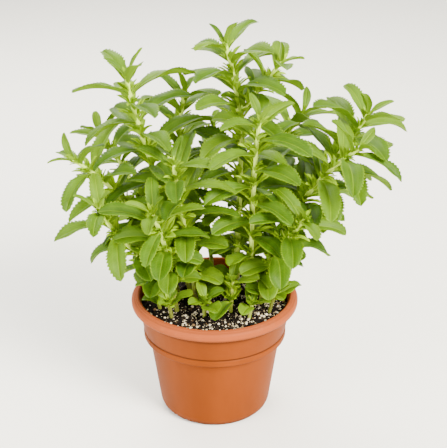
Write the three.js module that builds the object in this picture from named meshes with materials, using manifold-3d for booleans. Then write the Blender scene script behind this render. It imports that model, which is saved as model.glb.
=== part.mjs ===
// A stevia plant growing in a round terracotta-coloured pot, in millimetres.
// +Z is up, and the origin is the middle of the pot's flat underside.
//
// The pot and the soil are turned profiles. Each leafy stem is one fused solid: a tapered tube on a
// Bezier curve, with pairs of toothed leaves that cross each other at right angles up the stem. A leaf
// that would run into something that grew before it is turned, lifted or shortened until it is clear,
// and left out where it can't be.

import * as THREE from "three";
import { mergeVertices } from "three/addons/utils/BufferGeometryUtils.js";
import Module from "manifold-3d";

const wasm = await Module();
wasm.setup();

// ---------------------------------------------------------------- driving dimensions

const TURNED_SIDES = 32; // facets round the pot and the soil
const RIM_RADIUS = 75;
const POT_HEIGHT = 112;
const LIP_RADIUS = 68.5; // inner edge of the flat rim
const RIM_DEPTH = 9.4; // height of the rolled rim
const BAND_TOP = 78.4; // top of the raised band under the collar
const BAND_RADIUS = 64.7;
const BAND_DEPTH = 6.2;
const BODY_TOP_RADIUS = 59.6; // just under the band
const BODY_FOOT_RADIUS = 50.4;
const FOOT_RADIUS = 46.4; // the small inset ring that the pot stands on
const FOOT_HEIGHT = 2.4;
const WALL = 2.6;
const FLOOR = 3.6; // thickness of the pot's base
const DRAIN_HOLES = { count: 6, radius: 4.5, circle: 30, sides: 8 };

const GAP = 0.3; // between pieces that touch
const SOIL_EDGE = 101; // height of the soil at the pot's wall
const SOIL_MOUND = 4; // how much higher it is in the middle
const SOIL_LUMP = 0.9; // height of the crumbly waves on it
const SOIL_RINGS = 4; // from its edge to its middle

const ROOT_DEPTH = 84; // height that every stem starts at, inside the soil
const STEM_SIDES = 4; // its flats face the four ways that its leaves grow
const LEAF_THICKNESS = 1.2; // at the midrib; the margins are sharp
const MIDRIB_PEAK = 0.5; // share of a leaf's length where its midrib is full thickness
const NECK_DEPTH = 0.8; // how thick the neck is under the midrib, as a share of that
const LEAF_FOLD = 20; // degrees that each half is raised from flat
const NECK_WIDTH = 2.6; // width of a leaf where it leaves its stem
const NECK_REACH = 1.7; // from a leaf's buried root to its neck, just outside the stem
const CLEARANCE = 0.7; // kept between a leaf and whatever it doesn't grow from

// How the leaves change down a stem. Angles are in degrees, and vary is the most that one leaf
// differs from the next.
const TOP_PAIR_DEPTH = 1.5; // below the end of the stem
const CROWDING = 1.25; // over 1, pairs are closer together towards the tip
const BARE_FOOT = { stem: 30, shoot: 10 }; // length with no leaves, above the soil
const STANDING_REACH = 8; // depth below the tip over which leaves still stand up
const PITCH = { young: 68, grown: 12, vary: 9 }; // that a leaf rises from square to its stem
const ARCH = { young: 34, grown: 56, vary: 14 }; // that its midrib bends over
const TURN_TO_LIGHT = 0.5; // how much a leaf that spreads is drawn upwards on a leaning stem
const FACE_THE_SKY = 1.5; // how much more its upper side looks up than along the stem
const TWIST = 30; // most that its tip is rolled about its midrib
const SWAY = 9; // most that it is turned round the stem from its pair's own direction
const BUD_HEIGHT = 4; // above the tip, where a leaf would have no length yet
const FULL_GROWN_DEPTH = 16; // below the tip
const TOP_LEAF = 0.34; // length of a leaf at the very tip, as a share of the stem's longest
const FOOT_ZONE = 90; // height above the lowest pair in which leaves are shorter and rounder
const LOWEST_LEAF = 0.58; // length of the lowest leaves, as a share
// Width as a share of length, place of the widest point along the leaf, and how pointed the tip is.
const UPPER_SHAPE = { width: 0.35, widest: 0.58, point: 0.66 };
const LOWEST_SHAPE = { width: 0.6, widest: 0.62, point: 0.56 };
const TOOTHED_FROM = 30; // length of the shortest leaf with teeth

// Each leafy stem: the four points of its Bezier curve, its thickness at the root and at the tip,
// how many pairs of leaves it carries, the direction of its top pair in degrees from +X, and the
// length of its longest leaf.
const STEMS = [
  { name: "stem_main", path: [[20, 6, ROOT_DEPTH], [16, 6, 175], [34, -3, 266], [9, 0, 342]],
    thick: [6.0, 3.4], pairs: 15, turn: 135, longest: 56,
    branch: { path: [[22, 1, 280], [35, -5, 300], [45, -7, 316], [56, -7, 328]],
      thick: [3.8, 3.0], pairs: 5, turn: 10, longest: 52 } },
  { name: "stem_left_tall", thick: [5.4, 3.4], pairs: 14, turn: 25, longest: 56,
    path: [[-19, 8, ROOT_DEPTH], [-27, 17, 171], [-63, -12, 250], [-71, -14, 319]] },
  { name: "stem_right_tall", thick: [5.4, 3.4], pairs: 13, turn: 30, longest: 62,
    path: [[36, 25, ROOT_DEPTH], [48, 40, 158], [103, 26, 218], [133, 24, 273]] },
  { name: "stem_right_long", thick: [5.2, 3.2], pairs: 11, turn: 100, longest: 58,
    path: [[44, 12, ROOT_DEPTH], [50, 13, 157], [74, -4, 218], [121, -22, 258]] },
  { name: "stem_front_left", thick: [4.6, 3.2], pairs: 9, turn: 170, longest: 50,
    path: [[-31, -17, ROOT_DEPTH], [-39, -16, 135], [-38, -49, 185], [-50, -69, 221]] },
  { name: "stem_centre_left", thick: [4.6, 3.2], pairs: 10, turn: 70, longest: 54,
    path: [[-16, -9, ROOT_DEPTH], [-16, -10, 147], [-30, -36, 208], [-32, -51, 256]] },
  { name: "stem_centre_right", thick: [4.8, 3.2], pairs: 11, turn: 135, longest: 54,
    path: [[29, -5, ROOT_DEPTH], [35, -8, 157], [30, -35, 232], [37, -43, 291]] },
  { name: "stem_left_mid", thick: [4.8, 3.2], pairs: 10, turn: 45, longest: 52,
    path: [[-27, 5, ROOT_DEPTH], [-37, 4, 148], [-71, -10, 212], [-119, -15, 246]] },
  { name: "stem_left_low", thick: [4.4, 3.2], pairs: 8, turn: 0, longest: 50,
    path: [[-33, -4, ROOT_DEPTH], [-40, -7, 138], [-83, -36, 177], [-96, -47, 216]] },
  { name: "stem_right_low", thick: [4.4, 3.2], pairs: 8, turn: 15, longest: 54,
    path: [[40, -2, ROOT_DEPTH], [38, -6, 135], [60, -31, 175], [76, -47, 206]] },
  { name: "stem_left_upper", thick: [4.6, 3.2], pairs: 10, turn: 70, longest: 52,
    path: [[-33, 16, ROOT_DEPTH], [-43, 25, 143], [-70, 52, 200], [-104, 60, 242]] },
  { name: "stem_left_back", thick: [4.8, 3.2], pairs: 11, turn: 55, longest: 56,
    path: [[-24, 23, ROOT_DEPTH], [-27, 34, 155], [-39, 47, 226], [-26, 55, 283]] },
  { name: "stem_right_back", thick: [4.6, 3.2], pairs: 10, turn: 120, longest: 56,
    path: [[27, 32, ROOT_DEPTH], [40, 41, 145], [42, 75, 216], [82, 83, 254]] },
  { name: "stem_back", thick: [4.4, 3.2], pairs: 8, turn: 80, longest: 52,
    path: [[0, 34, ROOT_DEPTH], [-3, 44, 140], [-17, 81, 192], [-2, 87, 239]] },
  { name: "shoot_left", thick: [3.6, 3.0], pairs: 3, turn: 165, longest: 64,
    path: [[-36, -31, ROOT_DEPTH], [-36, -32, 100], [-38, -34, 112], [-40, -37, 122]] },
  { name: "shoot_front", thick: [3.6, 3.0], pairs: 3, turn: 110, longest: 64,
    path: [[-8, -30, ROOT_DEPTH], [-8, -31, 100], [-9, -34, 112], [-9, -37, 124]] },
  { name: "shoot_middle", thick: [3.6, 3.0], pairs: 3, turn: 75, longest: 64,
    path: [[14, -22, ROOT_DEPTH], [14, -23, 104], [15, -25, 120], [16, -28, 138]] },
  { name: "shoot_right", thick: [3.6, 3.0], pairs: 3, turn: 25, longest: 64,
    path: [[46, -18, ROOT_DEPTH], [47, -19, 100], [50, -21, 112], [54, -24, 124]] },
  { name: "shoot_front_right", thick: [3.6, 3.0], pairs: 3, turn: 70, longest: 64,
    path: [[29, -30, ROOT_DEPTH], [29, -31, 98], [31, -33, 110], [33, -36, 120]] },
  { name: "shoot_far_left", thick: [3.6, 3.0], pairs: 2, turn: 20, longest: 64,
    path: [[-46, -14, ROOT_DEPTH], [-47, -15, 104], [-51, -17, 118], [-55, -20, 130]] },
  { name: "shoot_back_left", thick: [3.6, 3.0], pairs: 2, turn: 65, longest: 64,
    path: [[-40, 26, ROOT_DEPTH], [-41, 27, 104], [-45, 30, 122], [-50, 34, 136]] },
  { name: "shoot_back_right", thick: [3.6, 3.0], pairs: 2, turn: 170, longest: 64,
    path: [[48, 28, ROOT_DEPTH], [49, 29, 104], [53, 32, 122], [58, 36, 136]] },
  { name: "shoot_back", thick: [3.6, 3.0], pairs: 2, turn: 40, longest: 64,
    path: [[14, 46, ROOT_DEPTH], [14, 48, 106], [17, 53, 128], [22, 58, 150]] },
];

// ---------------------------------------------------------------- small helpers

const RADIANS = Math.PI / 180;
const GOLDEN = 0.618034;
const UP = new THREE.Vector3(0, 0, 1);

/** An even spread of values between low and high for n = 0, 1, 2 and so on, with no random draw. */
const spread = (n, low, high) => low + (high - low) * ((n * GOLDEN) % 1);

/** 0 below 0, 1 above 1, and a smooth rise between. */
function smooth(x) {
  const t = Math.min(1, Math.max(0, x));
  return t * t * (3 - 2 * t);
}

function vector(xyz) {
  return new THREE.Vector3(...xyz);
}

/** Joins matching corners of a geometry and makes it a solid that can be cut and joined. */
function solidOf(geometry) {
  const bare = geometry.clone();
  bare.deleteAttribute("normal");
  bare.deleteAttribute("uv");
  const merged = mergeVertices(bare, 1e-4);
  return new wasm.Manifold(new wasm.Mesh({
    numProp: 3,
    vertProperties: merged.attributes.position.array,
    triVerts: new Uint32Array(merged.index.array),
  }));
}

function geometryOf(solid) {
  const { vertProperties, triVerts, numProp, numVert } = solid.getMesh();
  const corners = new Float32Array(numVert * 3);
  for (let i = 0; i < numVert; i++) {
    corners.set(vertProperties.subarray(i * numProp, i * numProp + 3), i * 3);
  }
  return new THREE.BufferGeometry()
    .setAttribute("position", new THREE.BufferAttribute(corners, 3))
    .setIndex(new THREE.BufferAttribute(triVerts, 1));
}

/** A geometry from corners, as Vector3, and triangles, as triples of corner numbers. */
function meshOf(corners, triangles) {
  return new THREE.BufferGeometry()
    .setFromPoints(corners)
    .setIndex(triangles.flat());
}

/** A profile of [radius, height] points turned about +Z. */
function turned(profile) {
  const points = profile.map(([radius, height]) => new THREE.Vector2(radius, height));
  return new THREE.LatheGeometry(points, TURNED_SIDES).rotateX(Math.PI / 2);
}

// ---------------------------------------------------------------- pot and soil

const RIM_BOTTOM = POT_HEIGHT - RIM_DEPTH;
const BAND_BOTTOM = BAND_TOP - BAND_DEPTH;
const COLLAR_TOP_RADIUS = 68.9; // just under the rim
const INNER_LIP_RADIUS = LIP_RADIUS - 2.2; // where the inside wall meets the rim's own slope

/** The inside of the pot from its floor to its lip, as [radius, height] points, moved in by inset. */
function innerWall(inset) {
  return [
    [BODY_FOOT_RADIUS - WALL - 1.5 - inset, FLOOR + inset],
    [BODY_FOOT_RADIUS - WALL + 0.3 - inset, FLOOR + 3.5],
    [BODY_TOP_RADIUS - WALL - inset, BAND_BOTTOM],
    [BAND_RADIUS - WALL - inset, BAND_TOP],
  ];
}

function potSolid() {
  const outside = [
    [0, 0],
    [FOOT_RADIUS, 0],
    [FOOT_RADIUS, FOOT_HEIGHT],
    [BODY_FOOT_RADIUS - 1.4, FOOT_HEIGHT + 0.4],
    [BODY_FOOT_RADIUS, FOOT_HEIGHT + 3.6],
    [BODY_TOP_RADIUS, BAND_BOTTOM - 0.6],
    [BAND_RADIUS, BAND_BOTTOM],
    [BAND_RADIUS, BAND_TOP - 0.6],
    [BAND_RADIUS - 0.8, BAND_TOP],
    [COLLAR_TOP_RADIUS, RIM_BOTTOM - 0.6],
    [RIM_RADIUS - 1.6, RIM_BOTTOM],
    [RIM_RADIUS, RIM_BOTTOM + 1.8],
    [RIM_RADIUS, POT_HEIGHT - 2.6],
    [RIM_RADIUS - 1.6, POT_HEIGHT],
    [LIP_RADIUS, POT_HEIGHT],
  ];
  const inside = [[INNER_LIP_RADIUS, POT_HEIGHT - 10], ...innerWall(0).reverse(), [0, FLOOR]];
  let pot = solidOf(turned([...outside, ...inside]));
  const { count, radius, circle, sides } = DRAIN_HOLES;
  const hole = new THREE.CylinderGeometry(radius, radius, 3 * FLOOR, sides).rotateX(Math.PI / 2);
  for (let i = 0; i < count; i++) {
    const turn = (i / count) * 2 * Math.PI;
    const place = [circle * Math.cos(turn), circle * Math.sin(turn), 0];
    pot = pot.subtract(solidOf(hole.clone().translate(...place)));
  }
  return pot;
}

/** Height of the crumbly waves on the soil at x, y. */
function lumps(x, y) {
  const broad = Math.sin(0.19 * x + 1.7 * Math.sin(0.13 * y));
  const fine = Math.sin(0.37 * y + 1.3 * Math.sin(0.29 * x + 2));
  return SOIL_LUMP * (0.6 * broad + 0.4 * fine);
}

function soilSolid() {
  const edge = INNER_LIP_RADIUS - GAP;
  const top = [];
  for (let i = 0; i <= SOIL_RINGS; i++) {
    const share = 1 - i / SOIL_RINGS;
    top.push([edge * share, SOIL_EDGE + SOIL_MOUND * (1 - share * share)]);
  }
  const geometry = turned([[0, FLOOR + GAP], ...innerWall(GAP), ...top]);
  const position = geometry.attributes.position;
  for (let i = 0; i < position.count; i++) {
    const [x, y, z] = [position.getX(i), position.getY(i), position.getZ(i)];
    const inward = smooth((edge - Math.hypot(x, y)) / 12);
    if (z > SOIL_EDGE - 1) position.setZ(i, z + inward * lumps(x, y));
  }
  return solidOf(geometry);
}

// ---------------------------------------------------------------- stems

/** How far each pair of leaves is below the tip of its stem: close together at first. */
function pairDepths({ pairs, bare }, length) {
  const deepest = length - bare;
  return Array.from({ length: pairs }, (_, pair) =>
    Math.max(TOP_PAIR_DEPTH, deepest * (pair / (pairs - 1)) ** CROWDING));
}

/** The frame round a stem's curve at a share of its length from the root. */
function ringAt(curve, { thick, turn }, share) {
  const along = curve.getTangentAt(share);
  const level = new THREE.Vector3(0, 1, 0).cross(along).normalize();
  const side = level.applyAxisAngle(along, turn * RADIANS);
  const back = along.clone().cross(side);
  const radius = THREE.MathUtils.lerp(thick[0], thick[1], share) / 2;
  return { share, at: curve.getPointAt(share), along, side, back, radius };
}

/** A stem's line: straight pieces between rings that are halfway between its pairs of leaves. */
function stemLine(stem) {
  const curve = new THREE.CubicBezierCurve3(...stem.path.map(vector));
  const length = curve.getLength();
  const depths = pairDepths(stem, length);
  const stops = [0, ...depths.map((depth) => 1 - depth / length).reverse()];
  const shares = [0, ...stops.slice(1).map((share, i) => (share + stops[i]) / 2), 1];
  return { length, depths, rings: shares.map((share) => ringAt(curve, stem, share)) };
}

/** The frame on a stem's line at a share of its length, on the straight piece between two rings. */
function frameAt({ rings }, share) {
  const i = rings.findIndex((ring) => ring.share >= share);
  const [below, above] = [rings[Math.max(i, 1) - 1], rings[Math.max(i, 1)]];
  const t = (share - below.share) / (above.share - below.share);
  const between = (key) => below[key].clone().lerp(above[key], t);
  return {
    at: between("at"),
    along: between("along").normalize(),
    side: between("side").normalize(),
    back: between("back").normalize(),
    radius: THREE.MathUtils.lerp(below.radius, above.radius, t),
  };
}

/** A tapered tube through the rings of a stem's line, wider by extra all round. */
function tube({ rings }, extra = 0) {
  const corners = [];
  const triangles = [];
  for (const { at, side, back, radius } of rings) {
    for (let k = 0; k < STEM_SIDES; k++) {
      const turn = ((k + 0.5) / STEM_SIDES) * 2 * Math.PI;
      corners.push(at.clone()
        .addScaledVector(side, (radius + extra) * Math.cos(turn))
        .addScaledVector(back, (radius + extra) * Math.sin(turn)));
    }
  }
  const last = (rings.length - 1) * STEM_SIDES;
  for (let row = 0; row < last; row += STEM_SIDES) {
    for (let k = 0; k < STEM_SIDES; k++) {
      const a = row + k;
      const b = row + ((k + 1) % STEM_SIDES);
      triangles.push([a, b, b + STEM_SIDES], [a, b + STEM_SIDES, a + STEM_SIDES]);
    }
  }
  for (let k = 1; k < STEM_SIDES - 1; k++) {
    triangles.push([0, k + 1, k], [last, last + k, last + k + 1]);
  }
  return solidOf(meshOf(corners, triangles));
}

// ---------------------------------------------------------------- leaves

/** Half of a leaf's width at a share of its length: narrow at the neck, widest at leaf.widest. */
function halfWidth(leaf, share) {
  const neckPower = (leaf.point * leaf.widest) / (1 - leaf.widest);
  const most = leaf.widest ** neckPower * (1 - leaf.widest) ** leaf.point;
  const bulge = (share ** neckPower * (1 - share) ** leaf.point) / most;
  return Math.max((leaf.width / 2) * bulge, (NECK_WIDTH / 2) * (1 - share));
}

/** The midrib's point, the side direction and the upward normal at a share of the leaf's length. */
function ribFrame(leaf, share) {
  const bent = leaf.bend * share;
  const radius = leaf.length / leaf.bend;
  const at = leaf.root.clone()
    .addScaledVector(leaf.out, radius * Math.sin(bent))
    .addScaledVector(leaf.face, -radius * (1 - Math.cos(bent)));
  const flatNormal = leaf.face.clone().multiplyScalar(Math.cos(bent))
    .addScaledVector(leaf.out, Math.sin(bent));
  const flatSide = leaf.out.clone().cross(leaf.face);
  const roll = leaf.twist * share;
  const side = flatSide.clone().multiplyScalar(Math.cos(roll))
    .addScaledVector(flatNormal, Math.sin(roll));
  const normal = flatNormal.multiplyScalar(Math.cos(roll))
    .addScaledVector(flatSide, -Math.sin(roll));
  return { at, side, normal };
}

/** The point on the margin: hand is -1 or 1, and fullness is under 1 in the notches between teeth. */
function marginPoint(leaf, share, hand, fullness = 1) {
  const { at, side, normal } = ribFrame(leaf, share);
  const half = halfWidth(leaf, share) * fullness;
  return at
    .addScaledVector(side, hand * half * Math.cos(LEAF_FOLD * RADIANS))
    .addScaledVector(normal, half * Math.sin(LEAF_FOLD * RADIANS));
}

/** Where the margin's corners are, as [share, fullness]: a tooth is a full corner, then a notch. */
const PLAIN_MARGIN = [[0.42, 1], [0.76, 1]];
const TOOTHED_MARGIN = [[0.44, 1.06], [0.56, 0.86], [0.76, 1.1]];

/** Triangles between two rows of corners, always stepping along the row that lags. */
function strip(edge, middle, flip) {
  const triangles = [];
  let [i, j] = [0, 0];
  while (i < edge.length - 1 || j < middle.length - 1) {
    const onEdge = j === middle.length - 1
      || (i < edge.length - 1 && edge[i + 1].share <= middle[j + 1].share);
    const far = onEdge ? edge[i + 1].corner : middle[j + 1].corner;
    const triangle = [edge[i].corner, middle[j].corner, far];
    if (new Set(triangle).size === 3) triangles.push(flip ? triangle.reverse() : triangle);
    if (onEdge) i++;
    else j++;
  }
  return triangles;
}

/** A closed thin blade. Its neck is a triangle, and past that it is a shallow fold with a midrib. */
function bladeSolid(leaf, thickness = LEAF_THICKNESS) {
  const corners = [];
  const corner = (share, point) => ({ share, corner: corners.push(point) - 1 });
  const neck = NECK_REACH / leaf.length;
  const margins = [[neck, 1], ...(leaf.toothed ? TOOTHED_MARGIN : PLAIN_MARGIN)];
  const rib = (share, up) => {
    const { at, normal } = ribFrame(leaf, share);
    return corner(share, at.addScaledVector(normal, (up * thickness) / 2));
  };
  const root = corner(0, leaf.root);
  const tip = corner(1, ribFrame(leaf, 1).at);
  const [left, right] = [-1, 1].map((hand) => [
    ...margins.map(([share, fullness]) => corner(share, marginPoint(leaf, share, hand, fullness))), tip]);
  const upper = [rib(MIDRIB_PEAK, 1), tip];
  const lower = [root, rib(neck, -NECK_DEPTH), rib(MIDRIB_PEAK, -1), tip];
  return solidOf(meshOf(corners, [
    [root, right[0], left[0]].map((end) => end.corner),
    [upper[0], left[0], right[0]].map((end) => end.corner),
    ...strip(left, upper, false),
    ...strip(right, upper, true),
    ...strip([root, ...left], lower, true),
    ...strip([root, ...right], lower, false),
  ]));
}

/** A leaf's root, direction and upper face, from the stem's frame and the leaf's angles. */
function setLeaf(frame, leaf, { turn, lift, size }) {
  const around = (leaf.turn + turn) * RADIANS;
  const pitch = Math.min(88, leaf.pitch + lift) * RADIANS;
  const outward = frame.side.clone().multiplyScalar(Math.cos(around))
    .addScaledVector(frame.back, Math.sin(around));
  const out = outward.clone().multiplyScalar(Math.cos(pitch))
    .addScaledVector(frame.along, Math.sin(pitch))
    .addScaledVector(UP, TURN_TO_LIGHT * Math.cos(pitch))
    .normalize();
  const sky = frame.along.clone().addScaledVector(UP, FACE_THE_SKY * Math.cos(pitch));
  return {
    ...leaf,
    root: frame.at.clone()
      .addScaledVector(outward, 0.7 * frame.radius - 0.75 * NECK_REACH * out.dot(outward)),
    out,
    face: sky.addScaledVector(out, -sky.dot(out)).normalize(),
    length: leaf.length * size,
    width: leaf.width * size,
  };
}

/** The leaves of one stem, from its tip down, in crossed pairs. */
function leavesOf(stem, line, seed) {
  const leaves = [];
  const deepest = line.depths.at(-1);
  const { lerp } = THREE.MathUtils;
  for (const [pair, depth] of line.depths.entries()) {
    const standing = Math.exp(-depth / STANDING_REACH);
    const grownShare = smooth((depth + BUD_HEIGHT) / (FULL_GROWN_DEPTH + BUD_HEIGHT));
    const low = 1 - smooth((deepest - depth) / FOOT_ZONE);
    for (const hand of [0, 1]) {
      const n = seed + 2 * pair + hand;
      const length = stem.longest * lerp(TOP_LEAF, 1, grownShare) * lerp(1, LOWEST_LEAF, low)
        * spread(n, 0.9, 1.08);
      leaves.push({
        pair: seed + pair,
        share: 1 - depth / line.length,
        turn: 90 * pair + 180 * hand + spread(n * 3, -SWAY, SWAY),
        pitch: lerp(PITCH.grown, PITCH.young, standing) + spread(n * 5, -PITCH.vary, PITCH.vary),
        bend: (lerp(ARCH.grown, ARCH.young, standing) + spread(n * 7, -ARCH.vary, ARCH.vary)) * RADIANS,
        twist: spread(n * 11, -TWIST, TWIST) * RADIANS,
        length,
        width: length * lerp(UPPER_SHAPE.width, LOWEST_SHAPE.width, low),
        widest: lerp(UPPER_SHAPE.widest, LOWEST_SHAPE.widest, low),
        point: lerp(UPPER_SHAPE.point, LOWEST_SHAPE.point, low),
        toothed: length > TOOTHED_FROM,
      });
    }
  }
  return leaves;
}

// Ways to set a leaf, tried in this order until one is clear: as it would grow, then turned round
// the stem, lifted or lowered, and last made shorter.
const SETTINGS = [];
for (const size of [1, 0.86, 0.72, 0.6]) {
  for (const turn of [0, 15, -15, 30, -30]) {
    for (const lift of [0, 12, -12, 24]) SETTINGS.push({ turn, lift, size });
  }
}

// ---------------------------------------------------------------- growing the plant

/** A solid that later leaves keep clear of. family and pair say which stem and pair it is on. */
function grown(solid, family, pair = null) {
  const { min, max } = solid.boundingBox();
  return { solid, family, pair, box: new THREE.Box3(vector(min), vector(max)) };
}

/** True if the leaf, made thicker and wider all round, meets nothing but what it grows from. */
function isClear(leaf, family, others) {
  const wide = { ...leaf, width: leaf.width + 2 * CLEARANCE, length: leaf.length + CLEARANCE };
  const reach = grown(bladeSolid(wide, LEAF_THICKNESS + 2 * CLEARANCE), family);
  return !others.some((other) => {
    const kin = other.family === family && (other.pair === null || other.pair === leaf.pair);
    return !kin && other.box.intersectsBox(reach.box) && reach.solid.intersect(other.solid).volume() > 0;
  });
}

const plant = new THREE.Group();

function addPiece(name, solid, { color, roughness }) {
  const material = new THREE.MeshStandardMaterial({ color, roughness, metalness: 0 });
  const mesh = new THREE.Mesh(geometryOf(solid), material);
  mesh.name = name;
  plant.add(mesh);
}

const pot = potSolid();
let soil = soilSolid();
const obstacles = [grown(pot, "pot"), grown(soil, "soil")];

const growths = [];
for (const stem of STEMS) {
  const bare = stem.name.startsWith("shoot") ? BARE_FOOT.shoot : BARE_FOOT.stem;
  const axes = [{ ...stem, bare: SOIL_EDGE + SOIL_MOUND - ROOT_DEPTH + bare }];
  if (stem.branch) axes.push({ ...stem.branch, bare: 8 });
  for (const axis of axes) {
    axis.line = stemLine(axis);
    axis.tube = tube(axis.line);
    obstacles.push(grown(axis.tube, stem.name));
  }
  soil = soil.subtract(tube(axes[0].line, GAP + 0.15).translate([0, 0, -GAP]));
  growths.push({ name: stem.name, axes, blades: [] });
}

let seed = 0;
for (const growth of growths) {
  for (const axis of growth.axes) {
    for (const leaf of leavesOf(axis, axis.line, seed)) {
      const frame = frameAt(axis.line, leaf.share);
      const set = SETTINGS.map((setting) => setLeaf(frame, leaf, setting))
        .find((candidate) => isClear(candidate, growth.name, obstacles));
      if (!set) continue;
      const blade = bladeSolid(set);
      obstacles.push(grown(blade, growth.name, leaf.pair));
      growth.blades.push(blade);
    }
    seed += 2 * axis.pairs;
  }
}

addPiece("pot", pot, { color: 0xc9764a, roughness: 0.5 });
addPiece("soil", soil, { color: 0x2a211c, roughness: 0.95 });
for (const { name, axes, blades } of growths) {
  const whole = [...axes.map((axis) => axis.tube), ...blades].reduce((sum, piece) => sum.add(piece));
  addPiece(name, whole, { color: 0x6fa032, roughness: 0.55 });
}

export default plant;
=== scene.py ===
# %% [markdown]
# # A stevia plant in a terracotta-coloured pot
#
# This notebook dresses a packed CAD model of a potted stevia plant. The CAD holds the pot, the soil and
# each leafy stem as plain solids in their true places. Here each solid gets a finer piece of the same form,
# in metres and in the same frame: the origin is the middle of the pot's underside, and +Z is up.

# %% Loading the packed model
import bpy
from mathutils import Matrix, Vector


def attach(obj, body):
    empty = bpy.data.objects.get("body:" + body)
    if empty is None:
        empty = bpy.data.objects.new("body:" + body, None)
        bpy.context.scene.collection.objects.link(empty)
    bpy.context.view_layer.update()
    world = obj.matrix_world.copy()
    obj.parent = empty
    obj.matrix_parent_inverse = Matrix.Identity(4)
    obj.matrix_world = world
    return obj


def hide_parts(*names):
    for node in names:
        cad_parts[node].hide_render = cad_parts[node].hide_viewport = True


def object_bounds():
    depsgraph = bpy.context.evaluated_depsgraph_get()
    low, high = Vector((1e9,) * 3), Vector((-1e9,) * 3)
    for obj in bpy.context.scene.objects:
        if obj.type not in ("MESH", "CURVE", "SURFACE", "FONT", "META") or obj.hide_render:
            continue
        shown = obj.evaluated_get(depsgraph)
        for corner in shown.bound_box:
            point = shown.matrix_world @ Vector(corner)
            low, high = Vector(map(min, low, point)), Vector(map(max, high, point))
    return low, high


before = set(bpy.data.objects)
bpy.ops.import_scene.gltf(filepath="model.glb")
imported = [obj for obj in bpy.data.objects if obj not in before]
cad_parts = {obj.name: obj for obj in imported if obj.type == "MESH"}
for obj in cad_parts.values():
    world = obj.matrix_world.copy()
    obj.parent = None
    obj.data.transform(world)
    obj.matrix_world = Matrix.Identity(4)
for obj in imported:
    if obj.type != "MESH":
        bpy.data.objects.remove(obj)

cad_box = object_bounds()
print("CAD nodes:", len(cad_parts), "box:", [list(corner) for corner in cad_box])

# %% Other tools
import math
from dataclasses import dataclass, replace

import bpy
import numpy as np
from mathutils import Vector, noise
from mathutils.kdtree import KDTree

MM = 0.001  # sizes below are in millimetres, as on a drawing, and this turns them into metres
print("one millimetre is", MM, "m")

# %% [markdown]
# ## Camera
#
# The plant is seen from a little above its top, from far enough away that the pot looks nearly undistorted.
# A camera could be aimed with a constraint, but a place and one tilt say the same in a form that is easy to
# check. The lens is long, so the view is narrow, and the floor fills all of it.

# %% Camera
CAMERA_PLACE = (0.008, -0.867, 0.578)
CAMERA_TILT = 65.3  # degrees up from looking straight down
FOCAL_LENGTH, SENSOR_WIDTH = 87.5, 36  # millimetres

camera = bpy.data.objects.new("camera", bpy.data.cameras.new("camera"))
camera.data.lens = FOCAL_LENGTH
camera.data.sensor_width = SENSOR_WIDTH
camera.location = CAMERA_PLACE
camera.rotation_euler = (math.radians(CAMERA_TILT), 0, 0)
bpy.context.collection.objects.link(camera)
bpy.context.scene.camera = camera
print("camera at", CAMERA_PLACE, "tilt", CAMERA_TILT)

# %% [markdown]
# ## Light
#
# Herbs look fresh in broad, soft light: a large warm lamp in front on the right makes the form, a weaker
# one on the left opens the shadows, and one behind shines through the leaves. A pale sky all round fills in
# the rest. A sun lamp would be simpler, but its hard shadows would break the plant into black and white.

# %% Light
# Place, height that it looks at, width and height, all in metres, then watts and colour.
LAMPS = {
    "key_light": ((1.2, -1.35, 1.55), 0.17, (0.95, 0.95), 210, (1.0, 0.95, 0.85)),
    "fill_light": ((-1.1, -0.9, 0.7), 0.15, (1.2, 1.0), 37, (1.0, 0.99, 0.96)),
    "back_light": ((-0.35, 1.0, 1.15), 0.2, (1.0, 0.7), 36, (1.0, 0.97, 0.88)),
}
SKY_COLOUR, SKY_STRENGTH = (1.0, 0.99, 0.95, 1), 1.4

for name, (place, aim, size, power, colour) in LAMPS.items():
    lamp = bpy.data.lights.new(name, "AREA")
    lamp.shape = "RECTANGLE"
    lamp.size, lamp.size_y = size
    lamp.energy, lamp.color = power, colour
    holder = bpy.data.objects.new(name, lamp)
    holder.location = place
    holder.rotation_euler = (Vector((0, 0, aim)) - Vector(place)).to_track_quat("-Z", "Y").to_euler()
    bpy.context.collection.objects.link(holder)

sky = bpy.data.worlds.new("pale_sky")
sky.use_nodes = True
sky_light = sky.node_tree.nodes["Background"].inputs
sky_light["Color"].default_value = SKY_COLOUR
sky_light["Strength"].default_value = SKY_STRENGTH
bpy.context.scene.world = sky
print("lights:", list(LAMPS))

# %% [markdown]
# ## Writing shader sums as Python
#
# A material is a graph of nodes. Drawn by hand it is easy to read, but in a script every sum would take
# three lines: add a Math node, set what it does, link it. A small class that wraps a socket lets plain
# Python operators add those nodes instead, so `1 - mask` reads as it would on paper. Everything that isn't
# a sum comes from one method, `node`, which takes the node's type, its settings and what goes into its
# sockets.

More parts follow.
